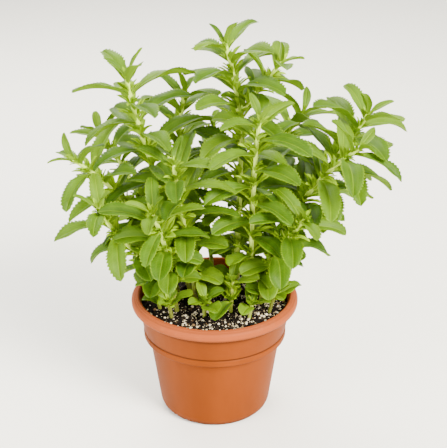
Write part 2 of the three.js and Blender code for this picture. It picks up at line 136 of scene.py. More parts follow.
# %% A socket that understands sums
class Socket:
    """An output of a node. A sum on it adds Math nodes and gives the output of the last."""

    def __init__(self, finish, output):
        self.finish, self.output = finish, output

    def maths(self, operation, *values):
        inputs = dict(enumerate(values))
        return self.finish.node("ShaderNodeMath", {"operation": operation}, inputs)

    def __add__(self, other):
        return self.maths("ADD", self, other)

    def __radd__(self, other):
        return self.maths("ADD", other, self)

    def __sub__(self, other):
        return self.maths("SUBTRACT", self, other)

    def __rsub__(self, other):
        return self.maths("SUBTRACT", other, self)

    def __mul__(self, other):
        return self.maths("MULTIPLY", self, other)

    def __rmul__(self, other):
        return self.maths("MULTIPLY", other, self)

    def __truediv__(self, other):
        return self.maths("DIVIDE", self, other)

    def __abs__(self):
        return self.maths("ABSOLUTE", self)

    def most(self, other):
        return self.maths("MAXIMUM", self, other)

    def rise(self, low, high):
        """0 below low, 1 above high, and a smooth rise between. With low above high it falls instead."""
        settings = {"interpolation_type": "SMOOTHSTEP"}
        flip = low > high
        limits = {"From Min": min(low, high), "From Max": max(low, high),
                  "To Min": float(flip), "To Max": float(not flip)}
        return self.finish.node("ShaderNodeMapRange", settings, {"Value": self, **limits})


print("a socket understands sums, and", [name for name in vars(Socket) if not name.startswith("_")])

# %% A finish and its nodes
class Finish:
    """A material and its nodes."""

    def __init__(self, name):
        self.material = bpy.data.materials.new(name)
        self.material.use_nodes = True
        self.tree = self.material.node_tree
        self.tree.nodes.clear()

    def node(self, kind, settings=None, inputs=None, output=0):
        made = self.tree.nodes.new(kind)
        for name, value in (settings or {}).items():
            setattr(made, name, value)
        for name, value in (inputs or {}).items():
            if isinstance(value, Socket):
                self.tree.links.new(value.output, made.inputs[name])
            else:
                made.inputs[name].default_value = value
        return Socket(self, made.outputs[output])

    def mix(self, share, first, second):
        """A colour between two."""
        settings = {"data_type": "RGBA", "clamp_factor": True}
        first, second = [c if isinstance(c, Socket) else (*c, 1) for c in (first, second)]
        return self.node("ShaderNodeMix", settings, {0: share, 6: first, 7: second}, 2)

    def place(self):
        """Where on the object each point is, in metres."""
        return self.node("ShaderNodeTexCoord", output="Object")

    def note(self, name):
        """The three numbers that the mesh keeps under a name at each of its corners."""
        settings = {"attribute_type": "GEOMETRY", "attribute_name": name}
        return self.node("ShaderNodeAttribute", settings, output="Vector")

    def split(self, vector):
        return [self.node("ShaderNodeSeparateXYZ", inputs={0: vector}, output=axis) for axis in "XYZ"]

    def scaled(self, vector, size):
        return self.node("ShaderNodeVectorMath", {"operation": "MULTIPLY"}, {0: vector, 1: size})

    def noise(self, vector, scale, detail=3.0, roughness=0.55):
        inputs = {"Vector": vector, "Scale": scale, "Detail": detail, "Roughness": roughness}
        return self.node("ShaderNodeTexNoise", inputs=inputs)

    def cells(self, vector, scale, feature="F1"):
        inputs = {"Vector": vector, "Scale": scale}
        return self.node("ShaderNodeTexVoronoi", {"feature": feature}, inputs, "Distance")

    def bump(self, height, strength, depth):
        inputs = {"Height": height, "Strength": strength, "Distance": depth}
        return self.node("ShaderNodeBump", inputs=inputs)

    def skin(self, colour, roughness, specular=0.5, **more):
        """The surface of every finish here. more is what goes into its other sockets, such as Normal."""
        inputs = {"Base Color": colour, "Roughness": roughness, "Specular IOR Level": specular, **more}
        return self.node("ShaderNodeBsdfPrincipled", inputs=inputs)

    def surface(self, shader):
        end = self.tree.nodes.new("ShaderNodeOutputMaterial")
        self.tree.links.new(shader.output, end.inputs["Surface"])
        print(f"finish {self.material.name}: {len(self.tree.nodes)} nodes")
        return self.material


print("a finish has", [name for name in vars(Finish) if not name.startswith("_")])

# %% [markdown]
# ## Leaf finish
#
# A stevia leaf is a soft yellow-green, semi-matt blade with three veins that run from its neck to its tip,
# finer ones that leave the midrib like a feather, and a net between them. The veins are paler and sunk in
# the upper side, and stand out of the paler underside. The neck is pale too, the margin is painted pale as a
# highlight along the edge, a cool painted sheen lies in patches on the upper side towards the neck, and light
# comes through them all. Each corner of a leaf's mesh keeps its place on the flat blade, so the veins can be
# drawn by formula and follow every bend of the leaf.

# %% Leaf finish
GROWN_GREEN = (0.062, 0.138, 0.001)
DEEP_GREEN = (0.017, 0.058, 0.001)
YOUNG_GREEN = (0.44, 0.69, 0.004)
VEIN_GREEN = (0.28, 0.44, 0.010)
# The colour on the next line is a painted sheen on the upper side of the blades.
PAINTED_SHEEN_GREEN = (0.105, 0.215, 0.016)
UNDER_GREEN = (0.115, 0.210, 0.006)
GLOW_GREEN = (0.30, 0.48, 0.01, 1)
LIGHT_THROUGH = 0.30  # share of the light that a blade lets through


def leaf_finish():
    leaf = Finish("stevia_leaf")
    flat, place, age = leaf.note("blade_flat"), leaf.note("blade_share"), leaf.note("blade_age")
    across, along, _ = leaf.split(flat)
    half, reach, upper = leaf.split(place)
    tone, youth, _ = leaf.split(age)
    half, upper_side = abs(half), upper.rise(0.45, 0.55)

    midrib = (abs(across) + reach * 0.3).rise(0.85, 0.3)
    side_vein = abs(half - 0.43).rise(0.045, 0.01) * reach.rise(0.92, 0.7)
    wander = leaf.noise(flat, 0.22, 2.0)
    slant = (along - abs(across) * 1.15) / 3.1 + wander * 0.5
    feather_vein = slant.maths("PINGPONG", slant, 0.5).rise(0.09, 0.02) * half.rise(1.0, 0.55)
    net = leaf.cells(flat, 0.8, "DISTANCE_TO_EDGE").rise(0.12, 0.02)
    veins = midrib.most(side_vein * 0.35).most(feather_vein * 0.4)

    patches = leaf.noise(flat, 0.13, 3.0)
    colour = leaf.mix(tone * 0.75 + patches.rise(0.35, 0.7) * 0.35, DEEP_GREEN, GROWN_GREEN)
    # Painted sheen: cool patches on the upper side, strongest towards the neck and away from the margin.
    painted_sheen = leaf.noise(flat, 0.06, 2.0).rise(0.36, 0.62) * half.rise(1.0, 0.7) * reach.rise(0.9, 0.35)
    colour = leaf.mix(painted_sheen * 0.6, colour, PAINTED_SHEEN_GREEN)
    colour = leaf.mix(youth, colour, YOUNG_GREEN)
    colour = leaf.mix(reach.rise(0.32, 0.02) * 0.5, colour, YOUNG_GREEN)
    # Painted highlight: the margin is painted pale along the edge.
    colour = leaf.mix(half.rise(0.86, 0.98) * 0.6, colour, VEIN_GREEN)
    colour = leaf.mix(veins * 0.5 + net * 0.08, colour, VEIN_GREEN)
    below = leaf.mix(veins * 0.5 + net * 0.1, UNDER_GREEN, VEIN_GREEN)
    below = leaf.mix(youth * 0.5, below, YOUNG_GREEN)
    colour = leaf.mix(upper_side, below, colour)

    swell = leaf.noise(flat, 0.9, 3.0) * 0.35 - veins * 0.8 - net * 0.15
    relief = swell * (upper_side * 2 - 1)
    gloss = patches.rise(0.3, 0.75) * 0.12 + 0.40 + (1 - upper_side) * 0.18
    skin = leaf.skin(colour, gloss, 0.18, Normal=leaf.bump(relief, 0.65, 0.35 * MM))
    glow = leaf.node("ShaderNodeBsdfTranslucent", inputs={"Color": GLOW_GREEN})
    both = leaf.node("ShaderNodeMixShader", inputs={0: LIGHT_THROUGH, 1: skin, 2: glow})
    return leaf.surface(both)


LEAF = leaf_finish()

# %% [markdown]
# ## Stem finish
#
# A stevia stem is pale whitish green, finely ribbed along its length, and browner near the soil as its skin
# turns to wood. Streaks along it could be painted by a stretched noise, and that is what the mesh's own
# note of place makes easy: one of its numbers runs round the stem and one along it.

# %% Stem finish
STREAK_GREENS = (0.36, 0.52, 0.03), (0.70, 0.84, 0.15)
YOUNG_STEM_GREEN = (0.56, 0.80, 0.04)
WOOD_BROWN = (0.085, 0.075, 0.010)
HAIR_COLOURS = (0.55, 0.62, 0.36), (0.78, 0.82, 0.62)


def stem_finish():
    stem = Finish("stevia_stem")
    flat = stem.note("blade_flat")
    tone, youth, height = stem.split(stem.note("blade_age"))
    streaks = stem.noise(stem.scaled(flat, (2.2, 0.12, 1.0)), 1.0, 3.0)
    patches = stem.noise(flat, 0.11, 2.0)
    colour = stem.mix(streaks.rise(0.3, 0.7), *STREAK_GREENS)
    colour = stem.mix(youth * 0.5, colour, YOUNG_STEM_GREEN)
    woody = (height + patches * 0.2).rise(0.58, 0.40)
    colour = stem.mix(woody * (tone * 0.4 + 0.5), colour, WOOD_BROWN)
    return stem.surface(stem.skin(colour, streaks * 0.2 + 0.45, 0.15,
                                  Normal=stem.bump(streaks, 0.5, 0.25 * MM)))


def hair_finish():
    hair = Finish("stem_hair")
    tone = hair.split(hair.note("blade_age"))[0]
    return hair.surface(hair.skin(hair.mix(tone, *HAIR_COLOURS), tone * 0.2 + 0.4))


STEM, HAIR = stem_finish(), hair_finish()

# %% [markdown]
# ## Pot finish
#
# The pot is moulded plastic in a terracotta colour: satin, a little uneven in colour as the pigment flowed,
# with a very fine grain from the mould. The rim is painted a little paler and pinker than the body. Painted
# shade darkens the steps on the rim's top, the creases above and below the band, the collar just under the
# rim, and the foot. A flat colour would look like paint. Noise at three scales gives the unevenness, and the
# height and radius of the place say where the pale rim, the painted shade and the dust lie.

# %% Pot finish
CLAY_COLOURS = (0.126, 0.025, 0.001), (0.166, 0.034, 0.003)
RIM_PINK = (0.34, 0.078, 0.024)
SPECK_RED = (0.17, 0.026, 0.001)
# The next colour is painted shade for the fine lines in the rim's steps.
STEP_SHADE_BROWN = (0.16, 0.035, 0.008)
# The second colour on the next line is painted shade, for the creases, the collar under the rim and the foot.
DUST_COLOUR, PAINTED_SHADE_COLOUR = (0.42, 0.19, 0.09), (0.035, 0.008, 0.001)

# Heights between which something begins and is full, in millimetres. The last is the painted shade at the
# foot.
PALE_RIM, RIM_TOP, DUSTY, FOOT_SHADE = (101.5, 106.0), (108.5, 109.5), (90.0, 112.0), (6.5, 1.0)
# Lines of painted shade: the radius or height of the middle, and how far from it the line begins and is full.
RIM_STEP_SHADES = (73.35, 0.5, 0.1), (70.3, 0.5, 0.1)
BAND_CREASE_SHADES = (78.7, 1.2, 0.3), (71.6, 1.9, 0.4)
RIM_CREASE_SHADE = (99.2, 3.0, 0.4)
OUTSIDE_COLLAR = (66.8, 67.6)  # radii, so that the painted shade under the rim isn't drawn on the inner wall


def line_at(value, middle, begin, full):
    return abs(value - middle).rise(begin, full)


def pot_finish():
    pot = Finish("terracotta_plastic")
    place = pot.place()
    height = pot.split(place)[2] / MM
    flat = pot.scaled(place, (1.0, 1.0, 0.0))
    radius = pot.node("ShaderNodeVectorMath", {"operation": "LENGTH"}, {0: flat}, "Value") / MM
    clouds = pot.noise(pot.scaled(place, (1.0, 1.0, 0.35)), 22, 4.0)
    specks = pot.cells(place, 420)
    grain = pot.noise(place, 1500, 2.0)
    colour = pot.mix(clouds.rise(0.3, 0.72), *CLAY_COLOURS)
    # The rim is painted a little paler and pinker than the body.
    colour = pot.mix(height.rise(*PALE_RIM) * 0.55, colour, RIM_PINK)
    colour = pot.mix(specks.rise(0.16, 0.05) * 0.25, colour, SPECK_RED)
    # Painted shade: fine dark lines in the steps on the rim's top.
    outer, inner = [line_at(radius, *step) for step in RIM_STEP_SHADES]
    colour = pot.mix(outer.most(inner) * height.rise(*RIM_TOP) * 0.55, colour, STEP_SHADE_BROWN)
    dust = pot.noise(place, 90, 5.0).rise(0.56, 0.72) * height.rise(*DUSTY)
    colour = pot.mix(dust * 0.08, colour, DUST_COLOUR)
    # Painted shade: dark bands in the creases above and below the band, on the collar just under the rim, and
    # at the foot.
    above, below = [line_at(height, *crease) for crease in BAND_CREASE_SHADES]
    under_rim = line_at(height, *RIM_CREASE_SHADE) * radius.rise(*OUTSIDE_COLLAR)
    painted_shade = above.most(below).most(under_rim * 0.6).most(height.rise(*FOOT_SHADE) * 0.8)
    colour = pot.mix(painted_shade * 0.8, colour, PAINTED_SHADE_COLOUR)
    wear = clouds * 0.14 + grain * 0.08 + dust * 0.12 + 0.40
    return pot.surface(pot.skin(colour, wear, 0.05, Normal=pot.bump(grain + specks * 0.3, 0.22, 0.12 * MM)))


POT = pot_finish()

# %% [markdown]
# ## Potting mix finishes
#
# Potting mix is nearly black when it is moist: peat and bark in crumbs of all sizes, threads of root, and
# grains of perlite, which is a white volcanic glass that was puffed up like popcorn. The ground between the
# crumbs, the crumbs and the perlite are three finishes, since each takes light in its own way.

# %% Potting mix finishes
PEAT_COLOURS, FLECK_COLOUR = ((0.0025, 0.002, 0.002), (0.014, 0.009, 0.006)), (0.20, 0.16, 0.10)
BARK_COLOURS, FRESH_BARK = ((0.003, 0.0025, 0.002), (0.036, 0.022, 0.013)), (0.17, 0.10, 0.045)
PERLITE_COLOURS, PIT_COLOUR = ((0.24, 0.18, 0.09), (0.82, 0.72, 0.50)), (0.22, 0.17, 0.11)


def mix_finish():
    mix = Finish("potting_mix")
    place = mix.place()
    lumps = mix.noise(place, 260, 6.0, 0.65)
    flecks = mix.cells(place, 520)
    colour = mix.mix(lumps.rise(0.3, 0.75), *PEAT_COLOURS)
    colour = mix.mix(flecks.rise(0.13, 0.06) * 0.7, colour, FLECK_COLOUR)
    return mix.surface(mix.skin(colour, lumps * 0.25 + 0.7, 0.06,
                                Normal=mix.bump(lumps + flecks * 0.4, 0.9, 0.8 * MM)))


def crumb_finish():
    crumb = Finish("bark_crumb")
    place = crumb.place()
    tone, warm, _ = crumb.split(crumb.note("blade_age"))
    fibres = crumb.noise(place, 700, 4.0)
    colour = crumb.mix(tone * fibres.rise(0.2, 0.8), *BARK_COLOURS)
    colour = crumb.mix(warm.rise(0.86, 0.95), colour, FRESH_BARK)
    return crumb.surface(crumb.skin(colour, fibres * 0.3 + 0.6, 0.10,
                                    Normal=crumb.bump(fibres, 0.8, 0.4 * MM)))


def perlite_finish():
    perlite = Finish("perlite_grain")
    place = perlite.place()
    tone = perlite.split(perlite.note("blade_age"))[0]
    pits = perlite.cells(place, 1500)
    colour = perlite.mix(tone, *PERLITE_COLOURS)
    colour = perlite.mix(pits.rise(0.25, 0.05) * 0.45, colour, PIT_COLOUR)
    return perlite.surface(perlite.skin(colour, pits * 0.2 + 0.6, Normal=perlite.bump(pits, 0.7, 0.3 * MM)))


MIX, CRUMB, PERLITE = mix_finish(), crumb_finish(), perlite_finish()

# %% [markdown]
# ## Floor
#
# The floor is only there to catch the shadow and to send light back up, so it is one plain pale sheet.

# %% Floor
FLOOR_REACH = 30.0  # metres from the middle to each side
FLOOR_COLOURS = (0.90, 0.885, 0.82), (0.93, 0.915, 0.86)


def floor_finish():
    floor = Finish("pale_floor")
    place = floor.place()
    clouds = floor.noise(place, 1.2, 2.0)
    return floor.surface(floor.skin(floor.mix(clouds, *FLOOR_COLOURS), clouds * 0.1 + 0.7, 0.2))


sheet = bpy.data.meshes.new("floor")
floor_corners = [(x * FLOOR_REACH, y * FLOOR_REACH, 0) for x, y in ((-1, -1), (1, -1), (1, 1), (-1, 1))]
sheet.from_pydata(floor_corners, [], [(0, 1, 2, 3)])
sheet.materials.append(floor_finish())
floor = bpy.data.objects.new("floor", sheet)
bpy.context.collection.objects.link(floor)
print("floor", 2 * FLOOR_REACH, "m wide")

# %% [markdown]
# ## Gathering meshes
#
# A plant is hundreds of small closed meshes of a few kinds. Making an object for each would be slow and
# hard to handle, and joining objects afterwards is slower still. So every blade, tube and grain is an array
# of corners and an array of faces, and a basket gathers the arrays of one piece and turns them into one
# mesh at the end. Each corner also keeps three notes for the finishes: its place on the flat blade, its
# share of the blade's width and length, and its age.

# %% Gathering meshes
NOTES = ("blade_flat", "blade_share", "blade_age")


class Basket:
    """Closed meshes that are gathered into one piece. Corners are in millimetres."""

    def __init__(self, finishes):
        self.finishes = finishes
        self.corners, self.faces, self.wears, self.rims = [], [], [], []
        self.notes = {name: [] for name in NOTES}
        self.count = 0

    def add(self, corners, faces, finish, rim=None, **notes):
        """faces is a list of arrays of corner numbers, and rim marks the corners of a sharp edge."""
        corners = np.asarray(corners, float).reshape(-1, 3)
        for some in faces:
            self.faces.append(np.asarray(some) + self.count)
            self.wears.append(np.full(len(some), self.finishes.index(finish)))
        self.corners.append(corners)
        self.rims.append(np.zeros(len(corners), bool) if rim is None else rim)
        for name in NOTES:
            kept = np.zeros((len(corners), 3))
            kept[:] = notes.get(name.removeprefix("blade_"), 0)
            self.notes[name].append(kept)
        self.count += len(corners)

    def mesh(self, name):
        made = bpy.data.meshes.new(name)
        corners = np.concatenate(self.corners) * MM
        loops = np.concatenate([some.ravel() for some in self.faces])
        sizes = np.concatenate([np.full(len(some), some.shape[1]) for some in self.faces])
        made.vertices.add(len(corners))
        made.vertices.foreach_set("co", corners.ravel())
        made.loops.add(len(loops))
        made.loops.foreach_set("vertex_index", loops)
        made.polygons.add(len(sizes))
        made.polygons.foreach_set("loop_start", np.concatenate([[0], np.cumsum(sizes)[:-1]]))
        made.polygons.foreach_set("material_index", np.concatenate(self.wears))
        made.update(calc_edges=True)
        made.polygons.foreach_set("use_smooth", np.ones(len(sizes), bool))
        rims = np.concatenate(self.rims)
        ends = np.zeros(2 * len(made.edges), int)
        made.edges.foreach_get("vertices", ends)
        sharp = rims[ends.reshape(-1, 2)].all(axis=1)
        made.attributes.new("sharp_edge", "BOOLEAN", "EDGE").data.foreach_set("value", sharp)
        for name, kept in self.notes.items():
            flat = np.concatenate(kept).astype(np.float32).ravel()
            made.attributes.new(name, "FLOAT_VECTOR", "POINT").data.foreach_set("vector", flat)
        for finish in self.finishes:
            made.materials.append(finish)
        return made


print("notes kept at each corner:", NOTES)

# %% Showing a piece
triangles_made = {}


def place_piece(name, mesh, slot, *nodes):
    """Shows a mesh as a piece that rides on the part, in the place of its CAD nodes."""
    piece = bpy.data.objects.new(name, mesh)
    bpy.context.collection.objects.link(piece)
    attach(piece, "root")
    if nodes:
        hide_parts(*nodes)
    mesh.calc_loop_triangles()
    triangles_made[name] = len(mesh.loop_triangles)
    print(f"{name}: {triangles_made[name]} triangles")

# %% [markdown]
# ## Pot
#
# A flower pot like this is pressed in a mould in one go, so every section through its axis is the same. The
# profile is drawn once, with small round corners where the plastic flowed, and turned about +Z. A Screw
# modifier would do that too, but turning it in code keeps the corners where they are named. The rim has
# three fine steps on top, and a raised band runs round under the collar.

# %% Pot profile
LONG_STRAIGHT, SUPPORT = 6.0, 0.8  # a straight past this length gets a point this far from each round end

# Radius, height and how round the corner is, from under the floor, up the outside, and down the inside.
POT_PROFILE = [
    (42.0, 1.2, 0.3), (42.6, 0.0, 0.3), (46.4, 0.0, 0.6), (46.4, 2.4, 0.3), (49.0, 2.8, 0.3),
    (50.4, 6.0, 1.6), (59.6, 71.6, 0.8), (64.0, 72.1, 0.5), (64.7, 73.0, 0.7), (64.7, 77.4, 0.8),
    (63.9, 78.2, 0.25), (64.15, 79.0, 0.3), (68.8, 101.6, 0.5), (73.6, 102.6, 1.0), (75.0, 104.6, 1.6),
    (75.0, 108.4, 1.3), (73.5, 110.15, 0.25), (73.2, 110.75, 0.3), (71.9, 111.0, 0.15), (71.7, 111.4, 0.2),
    (70.4, 111.55, 0.15), (70.2, 111.9, 0.15), (68.6, 112.0, 0.7), (66.9, 110.2, 1.2), (66.3, 102.0, 0.6),
    (62.1, 78.4, 1.0), (57.0, 72.2, 1.0), (48.1, 7.1, 1.5), (46.3, 3.6, 1.0),
]


def rounded(profile, steps=4):
    """A profile with its corners rounded, and a support point near each end of its long straights."""
    points = [np.array(profile[0][:2])]
    for before, corner, after in zip(profile, profile[1:], profile[2:]):
        middle = np.array(corner[:2])
        into, out = np.array(before[:2]) - middle, np.array(after[:2]) - middle
        far_in, far_out = np.linalg.norm(into), np.linalg.norm(out)
        into, out = into / far_in, out / far_out
        reach = min(corner[2], 0.45 * far_in, 0.45 * far_out)
        start, end = middle + into * reach, middle + out * reach
        if far_in > LONG_STRAIGHT:
            points.append(start + into * SUPPORT)
        for t in np.linspace(0, 1, steps + 1):
            points.append((1 - t) ** 2 * start + 2 * t * (1 - t) * middle + t ** 2 * end)
        if far_out > LONG_STRAIGHT:
            points.append(end + out * SUPPORT)
    points.append(np.array(profile[-1][:2]))
    return np.array(points)


pot_line = rounded(POT_PROFILE)
print("pot profile:", len(pot_line), "points, widest", pot_line[:, 0].max(), "highest", pot_line[:, 1].max())

# %% Turning a profile
POT_TURNS = 144  # columns of faces round the pot


def tube_faces(rings, sides):
    """Faces of a closed tube. Its corners are its rings, then the middle of its first end and of its last."""
    here = np.arange(sides)
    beside = (here + 1) % sides
    ring = (np.arange(rings - 1) * sides)[:, None]
    walls = np.stack([ring + here, ring + beside, ring + sides + beside, ring + sides + here], -1)
    last = (rings - 1) * sides
    first_middle, last_middle = np.full(sides, rings * sides), np.full(sides, rings * sides + 1)
    ends = np.concatenate([np.stack([first_middle, beside, here], 1),
                           np.stack([last_middle, last + here, last + beside], 1)])
    return [walls.reshape(-1, 4), ends]


def turned(profile, turns):
    """Corners and faces of a profile turned about +Z, closed on the axis at both its ends."""
    angles = np.arange(turns) / turns * 2 * np.pi
    radius, height = profile[:, 0], profile[:, 1]
    rows = np.stack([radius[:, None] * np.cos(angles), radius[:, None] * np.sin(angles),
                     np.broadcast_to(height[:, None], (len(profile), turns))], axis=-1).reshape(-1, 3)
    corners = np.concatenate([rows, [[0, 0, height[0]], [0, 0, height[-1]]]])
    return corners, tube_faces(len(profile), turns)


pot_basket = Basket([POT])
pot_basket.add(*turned(pot_line, POT_TURNS), POT)
print("corners of the turned pot:", pot_basket.count)

# %% [markdown]
# Six round holes in the floor let the water out. They are cut with a Boolean modifier, which is the safe
# way to put a clean round edge in a turned floor, and the result is kept as a plain mesh.

# %% Pot with its drain holes
DRAIN_HOLES = {"count": 6, "radius": 4.5, "circle": 30.0, "from": -4.0, "to": 8.0, "sides": 24}


def drill_bits():
    bits = Basket([POT])
    line = np.array([[DRAIN_HOLES["radius"], DRAIN_HOLES[end]] for end in ("from", "to")])
    for i in range(DRAIN_HOLES["count"]):
        turn = i / DRAIN_HOLES["count"] * 2 * np.pi
        corners, faces = turned(line, DRAIN_HOLES["sides"])
        shift = [DRAIN_HOLES["circle"] * np.cos(turn), DRAIN_HOLES["circle"] * np.sin(turn), 0]
        bits.add(corners + shift, faces, POT)
    return bpy.data.objects.new("drill_bits", bits.mesh("drill_bits"))


def drilled(mesh, bits):
    """The mesh with the bits cut out of it."""
    blank = bpy.data.objects.new("pot_blank", mesh)
    for o in (blank, bits):
        bpy.context.collection.objects.link(o)
    cut = blank.modifiers.new("holes", "BOOLEAN")
    cut.operation, cut.solver, cut.object = "DIFFERENCE", "EXACT", bits
    depsgraph = bpy.context.evaluated_depsgraph_get()
    made = bpy.data.meshes.new_from_object(blank.evaluated_get(depsgraph))
    for o in (blank, bits):
        bpy.data.objects.remove(o)
    return made


pot_mesh = drilled(pot_basket.mesh("moulded_pot"), drill_bits())
place_piece("moulded_pot", pot_mesh, "pot_plastic", "pot")

# %% [markdown]
# ## Soil
#
# The mix fills the pot to about a finger's width below its rim, a little higher in the middle. Its top is a
# round net of corners that follows the same mound as the CAD solid, with a crumbly noise on it. The crumbs
# and the perlite are real grains that lie on it, because at this size a bump would look printed.

# %% Soil surface
SOIL_EDGE, SOIL_RADIUS = 101.0, 66.0
SOIL_MOUND, SOIL_LUMP = 4.0, 0.9  # height of the mound in the middle, and of the waves on it
SOIL_CALM = 12.0  # from the wall, over which the waves begin
SOIL_TURNS, SOIL_RINGS = 150, 62
INSIDE_WALL = [(46.0, 3.9), (47.8, 7.1), (56.7, 72.2), (61.8, 78.4)]


def smooth(x):
    """0 up to x = 0, 1 from x = 1, and a smooth rise between."""
    t = min(1.0, max(0.0, x))
    return t * t * (3 - 2 * t)


def soil_height(x, y):
    """Height of the soil at x, y: the mound, the waves, and the crumbly relief on them."""
    radius = math.hypot(x, y)
    share = min(1.0, radius / SOIL_RADIUS)
    inward = smooth((SOIL_RADIUS - radius) / SOIL_CALM)
    waves = (0.6 * math.sin(0.19 * x + 1.7 * math.sin(0.13 * y))
             + 0.4 * math.sin(0.37 * y + 1.3 * math.sin(0.29 * x + 2)))
    crumbly = noise.fractal(Vector((x, y, 7.0)) * 0.21, 0.6, 2.1, 5)
    return (SOIL_EDGE + SOIL_MOUND * (1 - share * share) + inward * SOIL_LUMP * waves
            + crumbly * (0.35 + 0.65 * inward))


rings = SOIL_RADIUS * np.linspace(1, 0, SOIL_RINGS + 1)[:-1]
soil_line = np.array([*INSIDE_WALL, *[(radius, SOIL_EDGE) for radius in rings]])
soil_corners, soil_faces = turned(soil_line, SOIL_TURNS)
on_top = soil_corners[:, 2] > SOIL_EDGE - 0.5
for i in np.flatnonzero(on_top):
    soil_corners[i, 2] = soil_height(*soil_corners[i, :2])
soil_basket = Basket([MIX])
soil_basket.add(soil_corners, soil_faces, MIX)
place_piece("potting_mix_bed", soil_basket.mesh("potting_mix_bed"), "potting_mix", "soil")

# %% [markdown]
# A grain starts as a ball of 18 corners. Pushing each corner in or out by its own amount, and stretching
# the whole, turns it into a crumb of bark, a thread of root or a puffed grain of perlite. The draws come
# from one seeded generator, so the same bed comes out each time. Small grains are many and large ones few.

# %% A ball of few corners
def ball():
    """Corners and faces of an octahedron with each of its faces split in four, and pushed out to a ball."""
    corners = [Vector(v) for v in ((1, 0, 0), (-1, 0, 0), (0, 1, 0), (0, -1, 0), (0, 0, 1), (0, 0, -1))]
    faces, halfway = [], {}

    def between(a, b):
        key = (min(a, b), max(a, b))
        if key not in halfway:
            halfway[key] = len(corners)
            corners.append((corners[a] + corners[b]).normalized())
        return halfway[key]

    for x in (0, 1):
        for y in (2, 3):
            for z in (4, 5):
                a, b, c = (x, y, z) if (x + y + z) % 2 == 0 else (x, z, y)
                ab, bc, ca = between(a, b), between(b, c), between(c, a)
                faces += [(a, ab, ca), (ab, b, bc), (ca, bc, c), (ab, bc, ca)]
    return np.array([tuple(v) for v in corners]), np.array(faces)


BALL_CORNERS, BALL_FACES = ball()
print("corners and faces of a ball:", len(BALL_CORNERS), len(BALL_FACES))

# %% Grains of bark and perlite
draw = np.random.default_rng(41)
GRAIN_LEAN = 0.35  # radians, the usual lean of a grain out of level
FEW_LARGE = 2.2  # how strongly small grains outnumber large ones


def grain(basket, finish, at, size, stretch, rough):
    """One grain: size is its mean diameter, and stretch how much longer, wider and higher it is."""
    reach = 1 + rough * draw.uniform(-1, 1, (len(BALL_CORNERS), 1))
    corners = BALL_CORNERS * reach * np.array(stretch) * size / 2
    turn, tip = draw.uniform(0, 2 * np.pi), draw.normal(0, GRAIN_LEAN)
    spin = np.array([[math.cos(turn), -math.sin(turn), 0], [math.sin(turn), math.cos(turn), 0], [0, 0, 1]])
    lean = np.array([[1, 0, 0], [0, math.cos(tip), -math.sin(tip)], [0, math.sin(tip), math.cos(tip)]])
    corners = corners @ (spin @ lean).T + at
    basket.add(corners, [BALL_FACES], finish, age=[draw.uniform(), draw.uniform(), 0])


def scatter(basket, finish, count, sizes, stretch, rough, pull=(0.0, 0.0), sunk=0.25):
    """Grains all over the bed, small ones far more often than large. pull is how strongly they thin out
    away from the right front, along X and along Y, and sunk is the share of its height that a grain sinks."""
    made = 0
    while made < count:
        size = sizes[0] * (sizes[1] / sizes[0]) ** (draw.uniform() ** FEW_LARGE)
        x, y = draw.uniform(-SOIL_RADIUS, SOIL_RADIUS, 2)
        thinned = (pull[0] * (SOIL_RADIUS - x) + pull[1] * (SOIL_RADIUS + y)) / (2 * SOIL_RADIUS)
        if math.hypot(x, y) > SOIL_RADIUS - 0.7 * size or draw.uniform() < thinned:
            continue
        z = soil_height(x, y) + (0.5 - sunk) * size * stretch[2]
        grain(basket, finish, (x, y, z), size, stretch, rough)
        made += 1


BARK = {"count": 1300, "sizes": (1.0, 4.2), "stretch": (1.2, 0.9, 0.7), "rough": 0.28}
ROOT_THREADS = {"count": 260, "sizes": (1.1, 2.0), "stretch": (3.2, 0.5, 0.4), "rough": 0.2, "sunk": 0.1}
PUFFED = {"count": 1500, "sizes": (0.6, 2.9), "stretch": (1.1, 0.95, 0.8), "rough": 0.24, "pull": (0.5, 0.7)}

crumbs = Basket([CRUMB])
scatter(crumbs, CRUMB, **BARK)
scatter(crumbs, CRUMB, **ROOT_THREADS)
place_piece("bark_crumbs", crumbs.mesh("bark_crumbs"), "potting_mix")

perlite = Basket([PERLITE])
scatter(perlite, PERLITE, **PUFFED)
place_piece("perlite_grains", perlite.mesh("perlite_grains"), "potting_mix")

# %% [markdown]
# ## How the plant grows
#
# Stevia puts its leaves in pairs, and each pair stands across the one below it. Near the tip the pairs are
# close, and their leaves small and upright; further down they are long and arch over; near the soil they
# are shorter and rounder. The CAD grew its solids by that rule, from the named values below. The same rule
# here gives the same leaves, so each fine leaf can be built in its solid's place with no fitting. Copying
# the solids' corners would also do that, but a rule can say where a vein runs, and a corner can't.

# %% Stems of the plant
ROOT_DEPTH = 84.0
IN_SOIL = SOIL_EDGE + SOIL_MOUND - ROOT_DEPTH
BARE_FOOT = {"stem": 30.0, "shoot": 10.0}  # above the soil, below the lowest pair
BARE_BRANCH = 8.0


@dataclass
class Stem:
    node: str
    path: list  # the four points of its curve
    thick: tuple  # at the root and at the tip
    pairs: int
    turn: float  # direction of its top pair, in degrees
    longest: float  # length of its longest leaf
    bare: float = 0.0  # with no leaves, from its start

    def __post_init__(self):
        self.bare = self.bare or IN_SOIL + BARE_FOOT[self.node.split("_")[0]]


